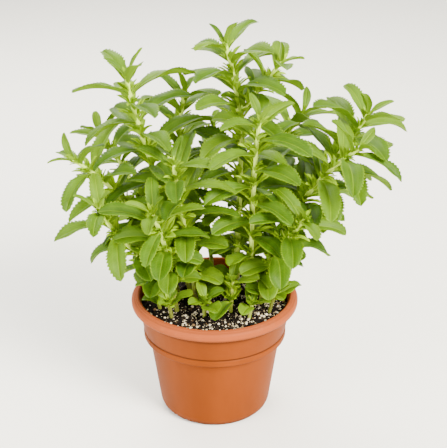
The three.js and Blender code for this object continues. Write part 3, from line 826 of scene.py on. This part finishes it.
# Each row is a Stem: its node and path, then its thickness, pairs, turn, longest leaf and bare length.
STEMS = [Stem(*row) for row in (
    ("stem_main", [(20, 6, 84), (16, 6, 175), (34, -3, 266), (9, 0, 342)],
     (6.0, 3.4), 15, 135, 56),
    ("stem_main", [(22, 1, 280), (35, -5, 300), (45, -7, 316), (56, -7, 328)],
     (3.8, 3.0), 5, 10, 52, BARE_BRANCH),
    ("stem_left_tall", [(-19, 8, 84), (-27, 17, 171), (-63, -12, 250), (-71, -14, 319)],
     (5.4, 3.4), 14, 25, 56),
    ("stem_right_tall", [(36, 25, 84), (48, 40, 158), (103, 26, 218), (133, 24, 273)],
     (5.4, 3.4), 13, 30, 62),
    ("stem_right_long", [(44, 12, 84), (50, 13, 157), (74, -4, 218), (121, -22, 258)],
     (5.2, 3.2), 11, 100, 58),
    ("stem_front_left", [(-31, -17, 84), (-39, -16, 135), (-38, -49, 185), (-50, -69, 221)],
     (4.6, 3.2), 9, 170, 50),
    ("stem_centre_left", [(-16, -9, 84), (-16, -10, 147), (-30, -36, 208), (-32, -51, 256)],
     (4.6, 3.2), 10, 70, 54),
    ("stem_centre_right", [(29, -5, 84), (35, -8, 157), (30, -35, 232), (37, -43, 291)],
     (4.8, 3.2), 11, 135, 54),
    ("stem_left_mid", [(-27, 5, 84), (-37, 4, 148), (-71, -10, 212), (-119, -15, 246)],
     (4.8, 3.2), 10, 45, 52),
    ("stem_left_low", [(-33, -4, 84), (-40, -7, 138), (-83, -36, 177), (-96, -47, 216)],
     (4.4, 3.2), 8, 0, 50),
    ("stem_right_low", [(40, -2, 84), (38, -6, 135), (60, -31, 175), (76, -47, 206)],
     (4.4, 3.2), 8, 15, 54),
    ("stem_left_upper", [(-33, 16, 84), (-43, 25, 143), (-70, 52, 200), (-104, 60, 242)],
     (4.6, 3.2), 10, 70, 52),
    ("stem_left_back", [(-24, 23, 84), (-27, 34, 155), (-39, 47, 226), (-26, 55, 283)],
     (4.8, 3.2), 11, 55, 56),
    ("stem_right_back", [(27, 32, 84), (40, 41, 145), (42, 75, 216), (82, 83, 254)],
     (4.6, 3.2), 10, 120, 56),
    ("stem_back", [(0, 34, 84), (-3, 44, 140), (-17, 81, 192), (-2, 87, 239)],
     (4.4, 3.2), 8, 80, 52),
    ("shoot_left", [(-36, -31, 84), (-36, -32, 100), (-38, -34, 112), (-40, -37, 122)],
     (3.6, 3.0), 3, 165, 64),
    ("shoot_front", [(-8, -30, 84), (-8, -31, 100), (-9, -34, 112), (-9, -37, 124)],
     (3.6, 3.0), 3, 110, 64),
    ("shoot_middle", [(14, -22, 84), (14, -23, 104), (15, -25, 120), (16, -28, 138)],
     (3.6, 3.0), 3, 75, 64),
    ("shoot_right", [(46, -18, 84), (47, -19, 100), (50, -21, 112), (54, -24, 124)],
     (3.6, 3.0), 3, 25, 64),
    ("shoot_front_right", [(29, -30, 84), (29, -31, 98), (31, -33, 110), (33, -36, 120)],
     (3.6, 3.0), 3, 70, 64),
    ("shoot_far_left", [(-46, -14, 84), (-47, -15, 104), (-51, -17, 118), (-55, -20, 130)],
     (3.6, 3.0), 2, 20, 64),
    ("shoot_back_left", [(-40, 26, 84), (-41, 27, 104), (-45, 30, 122), (-50, 34, 136)],
     (3.6, 3.0), 2, 65, 64),
    ("shoot_back_right", [(48, 28, 84), (49, 29, 104), (53, 32, 122), (58, 36, 136)],
     (3.6, 3.0), 2, 170, 64),
    ("shoot_back", [(14, 46, 84), (14, 48, 106), (17, 53, 128), (22, 58, 150)],
     (3.6, 3.0), 2, 40, 64),
)]
print(len(STEMS), "stems and branches,", sum(stem.pairs for stem in STEMS), "pairs of leaves")

# %% [markdown]
# ## Stem lines
#
# Each stem follows a Bezier curve, cut into straight pieces between rings that lie halfway between its
# pairs of leaves. A leaf grows from its straight piece. The fine stem rounds those pieces off: it touches
# each piece where the leaves grow and swings smoothly past the ring between, as a quadratic curve does
# whose handle is the ring.

# %% Stem lines
CURVE_STEPS = 200
TOP_PAIR_DEPTH = 1.5  # below the stem's end
CROWDING = 1.25  # how much closer the pairs are near the tip


def lerp(a, b, t):
    return a + (b - a) * t


def unit(v):
    return v / np.linalg.norm(v, axis=-1, keepdims=True)


def bezier(path, t):
    p, t = np.array(path, float), np.asarray(t, float)[..., None]
    return (1 - t) ** 3 * p[0] + 3 * (1 - t) ** 2 * t * p[1] + 3 * (1 - t) * t ** 2 * p[2] + t ** 3 * p[3]


class StemLine:
    """The rings and straight pieces of a stem, by share of its length from the root."""

    def __init__(self, stem):
        steps = np.linspace(0, 1, CURVE_STEPS + 1)
        chords = np.linalg.norm(np.diff(bezier(stem.path, steps), axis=0), axis=1)
        lengths = np.concatenate([[0], np.cumsum(chords)])
        self.length = lengths[-1]
        deepest = self.length - stem.bare
        self.depths = [max(TOP_PAIR_DEPTH, deepest * (pair / (stem.pairs - 1)) ** CROWDING)
                       for pair in range(stem.pairs)]
        self.stops = np.array([0] + [1 - depth / self.length for depth in reversed(self.depths)])
        self.shares = np.array([0, *(self.stops[1:] + self.stops[:-1]) / 2, 1])
        t = np.interp(self.shares * self.length, lengths, steps)
        along = unit(bezier(stem.path, np.minimum(1, t + 1e-4)) - bezier(stem.path, np.maximum(0, t - 1e-4)))
        level = unit(np.cross([0, 1, 0], along))
        turn = math.radians(stem.turn)
        side = level * math.cos(turn) + np.cross(along, level) * math.sin(turn)
        self.rings = {"at": bezier(stem.path, t), "along": along, "side": side, "back": np.cross(along, side)}
        self.radii = lerp(stem.thick[0], stem.thick[1], self.shares) / 2

    def between(self, key, share):
        return np.stack([np.interp(share, self.shares, ring) for ring in self.rings[key].T], axis=-1)

    def frame(self, share):
        """Where the stem is at a share, its three directions there, and its radius."""
        found = {key: unit(self.between(key, share)) for key in ("along", "side", "back")}
        return {**found, "at": self.between("at", share), "radius": np.interp(share, self.shares, self.radii)}

    def rounded(self, shares):
        """The middle of the fine stem at some shares."""
        piece = np.clip(np.searchsorted(self.stops, shares), 1, len(self.stops) - 1)
        start, end = self.stops[piece - 1], self.stops[piece]
        t = np.clip((shares - start) / (end - start), 0, 1)[:, None]
        curved = ((1 - t) ** 2 * self.between("at", start) + 2 * t * (1 - t) * self.rings["at"][piece]
                  + t ** 2 * self.between("at", end))
        return np.where((shares > self.stops[-1])[:, None], self.between("at", shares), curved)


lines = [StemLine(stem) for stem in STEMS]
seeds = [2 * sum(stem.pairs for stem in STEMS[:i]) for i in range(len(STEMS))]  # number of each first leaf
print("lengths:", [(stem.node, round(float(line.length))) for stem, line in zip(STEMS, lines)])

# %% [markdown]
# ## Leaves by the rule
#
# The rule gives each leaf its place, its direction, its arch and its outline. In the CAD a leaf that would
# have run into something was turned, lifted or shortened in a fixed order of tries, or left out. Which try
# was used can be read off the packed solid: its tip is a corner there. So each try is tested against the
# solid's corners, and the first that fits is the leaf that was built.

# %% The leaves that the rule gives
GOLDEN = 0.618034  # steps of this share of a range spread evenly over it
PITCH_YOUNG, PITCH_GROWN, PITCH_VARY = 68.0, 12.0, 9.0
ARCH_YOUNG, ARCH_GROWN, ARCH_VARY = 34.0, 56.0, 14.0
TWIST, SWAY = 30.0, 9.0
STANDING_REACH, BUD_HEIGHT, FULL_GROWN_DEPTH, FOOT_ZONE = 8.0, 4.0, 16.0, 90.0
TOP_LEAF, LOWEST_LEAF = 0.34, 0.58
UPPER_SHAPE = (0.35, 0.58, 0.66)  # width as a share of length, place of the widest point, how pointed
LOWEST_SHAPE = (0.6, 0.62, 0.56)
TOOTHED_FROM, FEWEST_TEETH, TOOTH_EVERY = 30.0, 5, 4.8
TIP_YOUTH, TIP_YOUTH_REACH = 0.10, 20.0  # how young the top leaves look, and how far down that fades


@dataclass
class Leaf:
    share: float  # of the stem's length, where it grows
    turn: float  # round the stem, in degrees
    pitch: float  # up from square to the stem, in degrees
    bend: float  # of its midrib, in radians
    twist: float  # from its root to its tip, in radians
    length: float
    width: float
    widest: float  # where it is widest, as a share of its length
    point: float  # how pointed its tip is: the larger, the more pointed
    youth: float  # 0 for a grown leaf and 1 for the youngest
    number: int  # gives it small differences of its own
    teeth: int = 0
    root: object = None  # the point where it starts
    out: object = None  # the direction in which it leaves
    face: object = None  # the direction to which its upper side looks there


def spread(n, low, high):
    """An even spread of values between low and high for n = 0, 1, 2 and so on. Each measure of a leaf
    takes its own multiple of the leaf's number, so that they don't vary together."""
    return low + (high - low) * ((n * GOLDEN) % 1)


def leaves_of(stem, line, seed):
    leaves = []
    deepest = line.depths[-1]
    for pair, depth in enumerate(line.depths):
        standing = math.exp(-depth / STANDING_REACH)
        low = 1 - smooth((deepest - depth) / FOOT_ZONE)
        age = smooth((depth + BUD_HEIGHT) / (FULL_GROWN_DEPTH + BUD_HEIGHT))
        grown = lerp(TOP_LEAF, 1, age) * lerp(1, LOWEST_LEAF, low)
        width, widest, point = [lerp(a, b, low) for a, b in zip(UPPER_SHAPE, LOWEST_SHAPE)]
        for hand in (0, 1):
            n = seed + 2 * pair + hand
            length = stem.longest * grown * spread(n, 0.9, 1.08)
            arch = lerp(ARCH_GROWN, ARCH_YOUNG, standing) + spread(n * 7, -ARCH_VARY, ARCH_VARY)
            leaves.append(Leaf(
                share=1 - depth / line.length, turn=90 * pair + 180 * hand + spread(n * 3, -SWAY, SWAY),
                pitch=lerp(PITCH_GROWN, PITCH_YOUNG, standing) + spread(n * 5, -PITCH_VARY, PITCH_VARY),
                bend=math.radians(arch), twist=math.radians(spread(n * 11, -TWIST, TWIST)), length=length,
                width=length * width, widest=widest, point=point,
                youth=TIP_YOUTH * math.exp(-depth / TIP_YOUTH_REACH), number=n,
                teeth=max(FEWEST_TEETH, round(length / TOOTH_EVERY)) if length > TOOTHED_FROM else 0))
    return leaves


print("leaves that the rule gives:", 2 * sum(stem.pairs for stem in STEMS))

# %% A leaf in its place
TURN_TO_LIGHT, FACE_THE_SKY = 0.5, 1.5
STEEPEST = 88.0  # the most that a leaf may point along its stem, in degrees
ROOT_IN_STEM, NECK_IN_STEM = 0.7, 0.75  # shares of the stem's radius and of the neck's reach
NECK_REACH = 1.7
UP = np.array([0.0, 0.0, 1.0])


def set_leaf(at, leaf, turn=0, lift=0, size=1):
    """The leaf in its place on the stem, with its directions worked out."""
    around = math.radians(leaf.turn + turn)
    pitch = math.radians(min(STEEPEST, leaf.pitch + lift))
    outward = at["side"] * math.cos(around) + at["back"] * math.sin(around)
    level, steep = math.cos(pitch), math.sin(pitch)
    out = unit(outward * level + at["along"] * steep + UP * TURN_TO_LIGHT * level)
    sky = at["along"] + UP * FACE_THE_SKY * level
    reach = ROOT_IN_STEM * at["radius"] - NECK_IN_STEM * NECK_REACH * out.dot(outward)
    root = at["at"] + outward * reach
    return replace(leaf, root=root, out=out, face=unit(sky - out * sky.dot(out)),
                   length=leaf.length * size, width=leaf.width * size)


def rib(leaf, shares):
    """The midrib's points, side directions and upward normals at some shares of the leaf's length."""
    s = np.asarray(shares, float)[..., None]
    bent, roll, radius = leaf.bend * s, leaf.twist * s, leaf.length / leaf.bend
    at = leaf.root + leaf.out * radius * np.sin(bent) - leaf.face * radius * (1 - np.cos(bent))
    normal = leaf.face * np.cos(bent) + leaf.out * np.sin(bent)
    side = np.cross(leaf.out, leaf.face)
    return at, side * np.cos(roll) + normal * np.sin(roll), normal * np.cos(roll) - side * np.sin(roll)


top_leaf = leaves_of(STEMS[0], lines[0], seeds[0])[0]
print("a top leaf's tip is at", rib(set_leaf(lines[0].frame(top_leaf.share), top_leaf), 1.0)[0].round(1))

# %% The leaves that were built
TRIES = [(turn, lift, size) for size in (1, 0.86, 0.72, 0.6) for turn in (0, 15, -15, 30, -30)
         for lift in (0, 12, -12, 24)]
FIT = 0.05  # millimetres, the furthest that a leaf's tip may be from a corner of the solid


def corners_tree(node):
    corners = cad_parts[node].data.vertices
    tree = KDTree(len(corners))
    for i, corner in enumerate(corners):
        tree.insert(corner.co / MM, i)
    tree.balance()
    return tree


def built_leaves(stem, line, seed, tree):
    """The leaves that the packed solid has, and how many the rule gave that it hasn't."""
    found, given = [], leaves_of(stem, line, seed)
    for leaf in given:
        at = line.frame(leaf.share)
        tries = (set_leaf(at, leaf, *setting) for setting in TRIES)
        fits = (leaf for leaf in tries if tree.find(rib(leaf, 1.0)[0])[2] < FIT)
        found.append(next(fits, None))
    kept = [leaf for leaf in found if leaf]
    return kept, len(given) - len(kept)


trees = {node: corners_tree(node) for node in {stem.node for stem in STEMS}}
grown_leaves = []
for stem, line, seed in zip(STEMS, lines, seeds):
    kept, missing = built_leaves(stem, line, seed, trees[stem.node])
    grown_leaves.append(kept)
    print(f"{stem.node}: {len(kept)} leaves built, {missing} left out")

# %% [markdown]
# ## Young leaves
#
# In the angle above each leaf a stevia stem makes a bud, which opens into a tuft of small narrow leaves,
# and the tip of each stem is a cluster of leaves that haven't spread yet. They are too fine for the CAD, so
# they are added here by a rule of the same kind. The lower the pair, the older its bud and the larger its
# tuft, except that the tufts of the lowest few pairs are smaller again.

# %% Tufts
FIRST_TUFT, OLDEST_TUFT = 7.0, 46.0  # depths below the tip where tufts begin and are full grown
TUFT_SIZES = (11.0, 23.0)
FOOT_TUFTS, LESS_AT_FOOT = 50.0, 0.45  # reach above the lowest pair where they grow smaller, and how much
AXIL, AXIL_STEP = 1.6, 0.7  # how far above its pair a tuft's first leaf grows, and each next one above it
FIRST_TUFT_LEAF = 1000  # their numbers start past those of the grown leaves
# Least and most width as a share of length, and how pointed the tip is.
YOUNG_SHAPE = {"stem": (0.26, 0.36, 0.9), "shoot": (0.5, 0.64, 0.6)}
# Turn and pitch in degrees, and size as a share of the whole tuft.
TUFT = [(-32, 46, 1.0), (30, 52, 0.92), (-50, 60, 0.7), (46, 64, 0.66), (-10, 70, 0.78), (12, 78, 0.58)]


def tufts_of(stem, line, seed):
    leaves = []
    deepest = line.depths[-1]
    slim, wide, point = YOUNG_SHAPE[stem.node.split("_")[0]]
    for pair, depth in enumerate(line.depths):
        if depth < FIRST_TUFT:
            continue
        for hand in (0, 1):
            n = seed + 2 * pair + hand
            less = LESS_AT_FOOT * (1 - smooth((deepest - depth) / FOOT_TUFTS))
            size = lerp(*TUFT_SIZES, smooth(depth / OLDEST_TUFT) * (1 - less)) * spread(n * 19, 0.75, 1.1)
            for i, (turn, pitch, share) in enumerate(TUFT):
                length = size * share * spread(n * 23 + 5 * i, 0.8, 1.15)
                leaf = Leaf(
                    share=min(1, 1 - (depth - AXIL - AXIL_STEP * i) / line.length),
                    turn=90 * pair + 180 * hand + turn + spread(n * 29 + i, -12, 12),
                    pitch=pitch + spread(n * 31 + i, -10, 10), bend=math.radians(spread(n * 37 + i, 18, 55)),
                    twist=math.radians(spread(n * 41 + i, -30, 30)), length=length,
                    width=length * spread(n * 43 + i, slim, wide), widest=0.55, point=point,
                    youth=spread(n * 47 + i, 0.65, 1.0), number=FIRST_TUFT_LEAF + 3 * n + i)
                leaves.append(set_leaf(line.frame(leaf.share), leaf))
    return leaves


tufts = [tufts_of(stem, line, seed) for stem, line, seed in zip(STEMS, lines, seeds)]
print("leaves in tufts:", sum(map(len, tufts)))

# %% Tips
CLUSTER_SIZE, CLUSTER_SINK = 15.0, 0.8  # length of its leaves, and how far into the stem's end they start
CLUSTER_SHAPE = (0.34, 0.5, 0.9)  # width as a share of length, place of the widest point, how pointed
FIRST_CLUSTER_LEAF = 5000
TIP_PAIRS = [(90, 74, 0.62), (180, 80, 0.42), (270, 84, 0.26)]  # turn, pitch and size, as for the tufts


def tip_cluster(line, seed):
    """The leaves at the very tip, still standing together."""
    leaves = []
    at = line.frame(1.0)
    at["at"] = at["at"] - at["along"] * CLUSTER_SINK
    width, widest, point = CLUSTER_SHAPE
    for i, (turn, pitch, share) in enumerate(TIP_PAIRS):
        for hand in (0, 1):
            n = seed + 7 * i + 3 * hand
            length = CLUSTER_SIZE * share * spread(n * 3, 0.85, 1.15)
            leaf = Leaf(
                share=1.0, turn=turn + 180 * hand + spread(n * 5, -14, 14),
                pitch=pitch + spread(n * 7, -4, 3), bend=math.radians(spread(n * 11, 12, 40)),
                twist=math.radians(spread(n * 13, -15, 15)),
                length=length, width=length * width, widest=widest, point=point,
                youth=spread(n * 17, 0.75, 1.0), number=FIRST_CLUSTER_LEAF + n)
            leaves.append(set_leaf(at, leaf))
    return leaves


tips = [tip_cluster(line, seed) for line, seed in zip(lines, seeds)]
print("leaves at tips:", sum(map(len, tips)))

# %% [markdown]
# ## Blade
#
# A blade is a net of rows across the leaf and columns along it, doubled into an upper and a lower skin that
# meet in a thin margin. A plane with a leaf picture on it would be lighter, but it has no edge, no
# thickness and no teeth of its own. The rows follow the teeth: each has a notch, a rounded back and a point
# that looks to the tip. Round leaves at the foot have blunter teeth. The halves rise from the midrib in a
# shallow fold, round over, and their margins wave a little.

# %% Rows and columns of a blade
TOOTHED_COLUMNS = np.array([0.12, 0.45, 0.8, 1.0])
PLAIN_COLUMNS = np.array([0.16, 0.55, 1.0])
TINY_COLUMNS = np.array([0.45, 1.0])
NECK_ROWS = [0.03, 0.075, 0.13, 0.2, 0.28]
PLAIN_ROWS = [0.05, 0.14, 0.25, 0.37, 0.5, 0.62, 0.74, 0.84, 0.92, 0.97]
TINY_ROWS = [0.08, 0.22, 0.4, 0.58, 0.76, 0.91]
TEETH_FROM, TEETH_TO = 0.35, 0.955
TOOTH = [(0.0, 0.0), (0.42, 0.72), (0.78, 1.0)]  # share of the way along a tooth, and how far out it is there
NECK_RISE, TIP_ROW, TIP_RISE = 0.4, 0.975, 0.1


def both_sides(columns):
    return np.concatenate([-columns[::-1], [0], columns])


def toothed_rows(teeth):
    """Shares of the length where the rows are, and how far each is from notch to point, 0 to 1."""
    pitch = (TEETH_TO - TEETH_FROM) / teeth
    rows, rise = list(NECK_ROWS), [NECK_RISE] * len(NECK_ROWS)
    for tooth in range(teeth):
        start = TEETH_FROM + tooth * pitch
        rows += [start + along * pitch for along, out in TOOTH]
        rise += [out for along, out in TOOTH]
    return np.array(rows + [TIP_ROW]), np.array(rise + [TIP_RISE])


blade_nets = {}


def blade_net(rows, columns):
    """Faces of the two skins of a blade. Corner 0 is the root and 1 the tip, then come the upper skin's
    rows, then the lower skin's, which shares the margins."""
    if (rows, columns) in blade_nets:
        return blade_nets[rows, columns]
    upper = 2 + np.arange(rows * columns).reshape(rows, columns)
    lower = upper.copy()
    lower[:, 1:-1] = 2 + rows * columns + np.arange(rows * (columns - 2)).reshape(rows, columns - 2)
    quads, fans = [], []
    for skin, flip in ((upper, 1), (lower, -1)):
        quads.append(np.stack([skin[:-1, :-1], skin[:-1, 1:], skin[1:, 1:], skin[1:, :-1]], -1)
                     .reshape(-1, 4)[:, ::flip])
        root, tip = np.zeros(columns - 1, int), np.ones(columns - 1, int)
        fans.append(np.stack([root, skin[0, 1:], skin[0, :-1]], 1)[:, ::flip])
        fans.append(np.stack([tip, skin[-1, :-1], skin[-1, 1:]], 1)[:, ::flip])
    rim = np.zeros(2 + rows * columns + rows * (columns - 2), bool)
    rim[[0, 1]] = True
    rim[upper[:, [0, -1]].ravel()] = True
    blade_nets[rows, columns] = [np.concatenate(quads), np.concatenate(fans)], rim
    return blade_nets[rows, columns]


print("rows of a leaf with six teeth:", np.round(toothed_rows(6)[0], 3))

# %% Outline of a blade
NECK_WIDTH = 2.6
TINY_LEAF = 12.0  # up to this length a leaf needs only a few rows
TOOTH_DEPTH, TOOTH_SLANT = 0.38, 0.22
ROUND_FROM, ROUND_SPAN, BLUNTER = 0.38, 0.18, 0.65  # width for the length, and how much depth the teeth lose


def half_width(leaf, share):
    neck_power = leaf.point * leaf.widest / (1 - leaf.widest)
    most = leaf.widest ** neck_power * (1 - leaf.widest) ** leaf.point
    bulge = share ** neck_power * (1 - share) ** leaf.point / most
    return np.maximum(leaf.width / 2 * bulge, NECK_WIDTH / 2 * (1 - share))


def blade_rows(leaf):
    """The rows of a blade, how far each is from notch to point, and its columns."""
    if leaf.teeth:
        return *toothed_rows(leaf.teeth), both_sides(TOOTHED_COLUMNS)
    rows, columns = (PLAIN_ROWS, PLAIN_COLUMNS) if leaf.length > TINY_LEAF else (TINY_ROWS, TINY_COLUMNS)
    return np.array(rows), np.full(len(rows), 0.5), both_sides(columns)


def blade_outline(leaf):
    """The rows and columns of a blade, and for each corner of its net: its share of the length, half the
    leaf's width there, and how far out it is from the midrib."""
    rows, rise, columns = blade_rows(leaf)
    pitch = (TEETH_TO - TEETH_FROM) / leaf.teeth if leaf.teeth else 0.0
    t, hand = np.abs(columns), np.sign(columns)
    # The teeth fade in past the neck and out at the tip.
    toothed = np.clip((rows - 0.3) / 0.1, 0, 1) * np.clip((1 - rows) / 0.06, 0, 1)
    shift = 0.03 * t ** 2 * (1 - rows[:, None]) + TOOTH_SLANT * pitch * hand * t ** 6 * toothed[:, None]
    share = np.minimum(rows[:, None] + shift, 0.99)
    half = half_width(leaf, share)
    round_leaf = smooth((leaf.width / leaf.length - ROUND_FROM) / ROUND_SPAN)
    depth = TOOTH_DEPTH * math.sqrt(leaf.width) * (1 - BLUNTER * round_leaf) if leaf.teeth else 0.0
    uneven = np.array([spread(leaf.number + 3 * row, 0.7, 1.25) for row in range(len(rows))])
    teeth = depth * (rise - 0.55) * toothed * uneven
    return rows, columns, share, half, hand * (t * half + teeth[:, None] * t ** 6)


longest = max(grown_leaves[0], key=lambda leaf: leaf.length)
print("rows and columns of the main stem's longest leaf:", blade_outline(longest)[-1].shape)

# %% Relief of a blade
RIB_THICKNESS, SKIN_THICKNESS = 0.95, 0.42
ROUNDING, DROOP, WAVE = 0.075, 0.09, 0.045  # of each half of a blade, as shares of its width
GROOVE_DEPTH, GROOVE_HALF, RIDGE_HALF = 0.35, 1.0, 0.8  # along the midrib, above and below


def blade_relief(leaf, rows, columns, share, half, x):
    """How far each corner is lifted off the fold, and how thick the blade is there."""
    t, hand = np.abs(columns), np.sign(columns)
    waves, start = spread(leaf.number * 3, 1.2, 2.2), spread(leaf.number, 0, 1)
    wave = np.sin(2 * np.pi * (waves * share + start + 0.27 * hand))
    lift = (ROUNDING * half * np.sin(np.pi * t) - DROOP * half * t ** 4 + WAVE * leaf.width * wave * t ** 2
            * np.clip(rows / 0.3, 0, 1)[:, None] - GROOVE_DEPTH * np.exp(-(x / GROOVE_HALF) ** 2))
    ridge = np.exp(-(x / RIDGE_HALF) ** 2) * (1.15 - share)
    thick = (SKIN_THICKNESS * np.clip((1 - t) * 4, 0, 1) * np.clip(leaf.width / 8, 0.45, 1)
             + (RIB_THICKNESS - SKIN_THICKNESS) * ridge * np.clip(leaf.length / 25, 0.4, 1.1))
    return lift, thick


print("its greatest thickness:", blade_relief(longest, *blade_outline(longest))[1].max().round(2), "mm")

# %% One blade
LEAF_FOLD = math.radians(25)
TALL = 360.0  # about the plant's height, so that notes of height run from 0 to 1
PATTERN_STEP, PATTERNS = 3.7, 97  # moves the painted pattern on from leaf to leaf
PLANT_BOX = np.array([list(corner) for corner in cad_box]) / MM  # no leaf reaches past the CAD solids


def two_skins(ends, above, below):
    """One list for a blade: its root and tip, its upper skin, and its lower skin without the margins."""
    return np.concatenate([ends, above.reshape(-1, 3), below[:, 1:-1].reshape(-1, 3)])


def add_blade(basket, leaf):
    rows, columns, share, half, x = blade_outline(leaf)
    lift, thick = blade_relief(leaf, rows, columns, share, half, x)
    at, side, normal = rib(leaf, share)
    middle = (at + side * (x * math.cos(LEAF_FOLD))[..., None]
              + normal * (np.abs(x) * math.sin(LEAF_FOLD) + lift)[..., None])
    above = middle + normal * (thick * 0.35)[..., None]
    below = middle - normal * (thick * 0.65)[..., None]
    above[:, [0, -1]] = middle[:, [0, -1]]
    corners = two_skins(np.stack([leaf.root, rib(leaf, 1.0)[0]]), above, below)

    places = np.stack([x, share * leaf.length, np.zeros(x.shape)], -1)
    flat = two_skins([[0, 0, 0], [0, leaf.length, 0]], places, places)
    flat[:, 2] = PATTERN_STEP * (leaf.number % PATTERNS)
    upper = np.stack([np.broadcast_to(columns, x.shape), share, np.ones(x.shape)], -1)
    upper[:, [0, -1], 2] = 0.5
    lower = upper * (1, 1, 0)
    shares = two_skins([[0, 0, 0.5], [0, 1, 0.5]], upper, lower)
    youth = min(1, leaf.youth + spread(leaf.number * 59, -0.1, 0.12))
    age = [spread(leaf.number * 53, 0, 1), youth, leaf.root[2] / TALL]
    faces, rim = blade_net(*x.shape)
    basket.add(np.clip(corners, *PLANT_BOX), faces, LEAF, rim, flat=flat, share=shares, age=age)


trial = Basket([LEAF])
add_blade(trial, longest)
print("its faces:", sum(map(len, trial.faces)))

# %% [markdown]
# ## Stem and its hairs
#
# The stem is a tapered round tube with a swelling at each pair of leaves, closed at its tip by a small
# dome. It could be a curve object with a bevel, but the note of place that its finish reads needs a mesh.
# Short hairs stand on it, each a thin closed spike of four faces.

# %% Stem
STEM_SIDES = 10
STEM_STEP = 2.4  # millimetres between rows
SWELLING, SWELLING_REACH = 0.2, 1.7  # share of the radius, and millimetres along the stem
SLIM = 0.98  # share of the rule's radius that the stem has between its swellings
DOME_WIDTH, DOME_HEIGHT = 0.6, 0.8  # what the last ring narrows to, and the tip's height above it
STREAK_STEP = 5.3  # moves the painted streaks on from stem to stem
YOUNG_STEM_REACH, MEAN_RADIUS = 45.0, 1.5  # how far below the tip the stem looks young, and for its streaks


def add_stem(basket, line, number):
    rows = max(6, round(line.length / STEM_STEP))
    shares = np.linspace(0, 1, rows)
    middle = line.rounded(shares)
    at = line.frame(shares)
    swell = sum(SWELLING * np.exp(-((shares - stop) * line.length / SWELLING_REACH) ** 2)
                for stop in line.stops[1:])
    radius = SLIM * at["radius"] * (1 + swell)
    radius[-1] *= DOME_WIDTH
    angles = np.arange(STEM_SIDES) / STEM_SIDES * 2 * np.pi
    ring = (at["side"][:, None] * np.cos(angles)[:, None] + at["back"][:, None] * np.sin(angles)[:, None])
    corners = middle[:, None] + ring * radius[:, None, None]
    tip = middle[-1] + at["along"][-1] * radius[-1] * DOME_HEIGHT
    corners = np.concatenate([corners.reshape(-1, 3), [middle[0], tip]])
    flat = np.zeros((len(corners), 3))
    flat[:, 1] = np.concatenate([np.repeat(shares, STEM_SIDES), [0, 1]]) * line.length
    flat[:-2, 0] = np.tile(np.abs(angles - np.pi), rows) * MEAN_RADIUS
    flat[:, 2] = STREAK_STEP * number
    age = np.zeros((len(corners), 3))
    age[:, 0] = spread(number * 7, 0, 1)
    age[:, 1] = np.exp((flat[:, 1] - line.length) / YOUNG_STEM_REACH)
    age[:, 2] = corners[:, 2] / TALL
    basket.add(corners, tube_faces(rows, STEM_SIDES), STEM, flat=flat, age=age)
    return middle, at, radius


print("rings on the main stem:", round(lines[0].length / STEM_STEP))

# %% Hairs
HAIRS_PER_MM, HAIRS_FROM = 1.15, 104.0  # the second is the height above which hairs stand
HAIR_LENGTH, HAIR_WIDTH = 0.85, 0.07


def add_hairs(basket, line, middle, at, radius):
    count = int(line.length * HAIRS_PER_MM)
    above_soil = np.flatnonzero(middle[:, 2] > HAIRS_FROM)
    place = draw.uniform(above_soil[0], len(middle) - 1.001, count)
    row, t = place.astype(int), (place % 1)[:, None]
    turn = draw.uniform(0, 2 * np.pi, count)
    mixed = {key: at[key][row] * (1 - t) + at[key][row + 1] * t for key in ("along", "side", "back")}
    outward = mixed["side"] * np.cos(turn)[:, None] + mixed["back"] * np.sin(turn)[:, None]
    around = np.cross(mixed["along"], outward)
    foot = middle[row] * (1 - t) + middle[row + 1] * t
    foot = foot + outward * (radius[row] * (1 - t[:, 0]) + radius[row + 1] * t[:, 0] - 0.1)[:, None]
    reach = HAIR_LENGTH * draw.uniform(0.6, 1.2, (count, 1))
    tip = foot + outward * reach + mixed["along"] * reach * draw.uniform(-0.2, 0.7, (count, 1))
    ways = [mixed["along"], around * 0.87 - mixed["along"] * 0.5, -around * 0.87 - mixed["along"] * 0.5]
    corners = np.stack([*(foot + way * HAIR_WIDTH for way in ways), tip], 1).reshape(-1, 3)
    faces = (np.arange(count) * 4)[:, None, None] + np.array([[0, 1, 3], [1, 2, 3], [2, 0, 3], [0, 2, 1]])
    tones = np.repeat(draw.uniform(0, 1, count), 4)
    basket.add(corners, [faces.reshape(-1, 3)], HAIR, age=np.stack([tones, tones, tones], 1))


print("hairs on a stem of 200 mm:", int(200 * HAIRS_PER_MM))

# %% [markdown]
# ## Growing the plant
#
# Now each CAD node gets its own piece: the stem, its branch where it has one, the leaves that the solid
# has, the young leaves and the hairs, all in one mesh, as they are one piece on the real plant.

# %% Growing the plant
baskets = {}
for number, (stem, line) in enumerate(zip(STEMS, lines)):
    basket = baskets.setdefault(stem.node, Basket([LEAF, STEM, HAIR]))
    add_hairs(basket, line, *add_stem(basket, line, number))
    for leaf in grown_leaves[number] + tufts[number] + tips[number]:
        add_blade(basket, leaf)

for node, basket in baskets.items():
    place_piece(f"leafy_{node}", basket.mesh(f"leafy_{node}"), "stevia_green", node)
print("triangles in all:", sum(triangles_made.values()))

# %% [markdown]
# ## Size
#
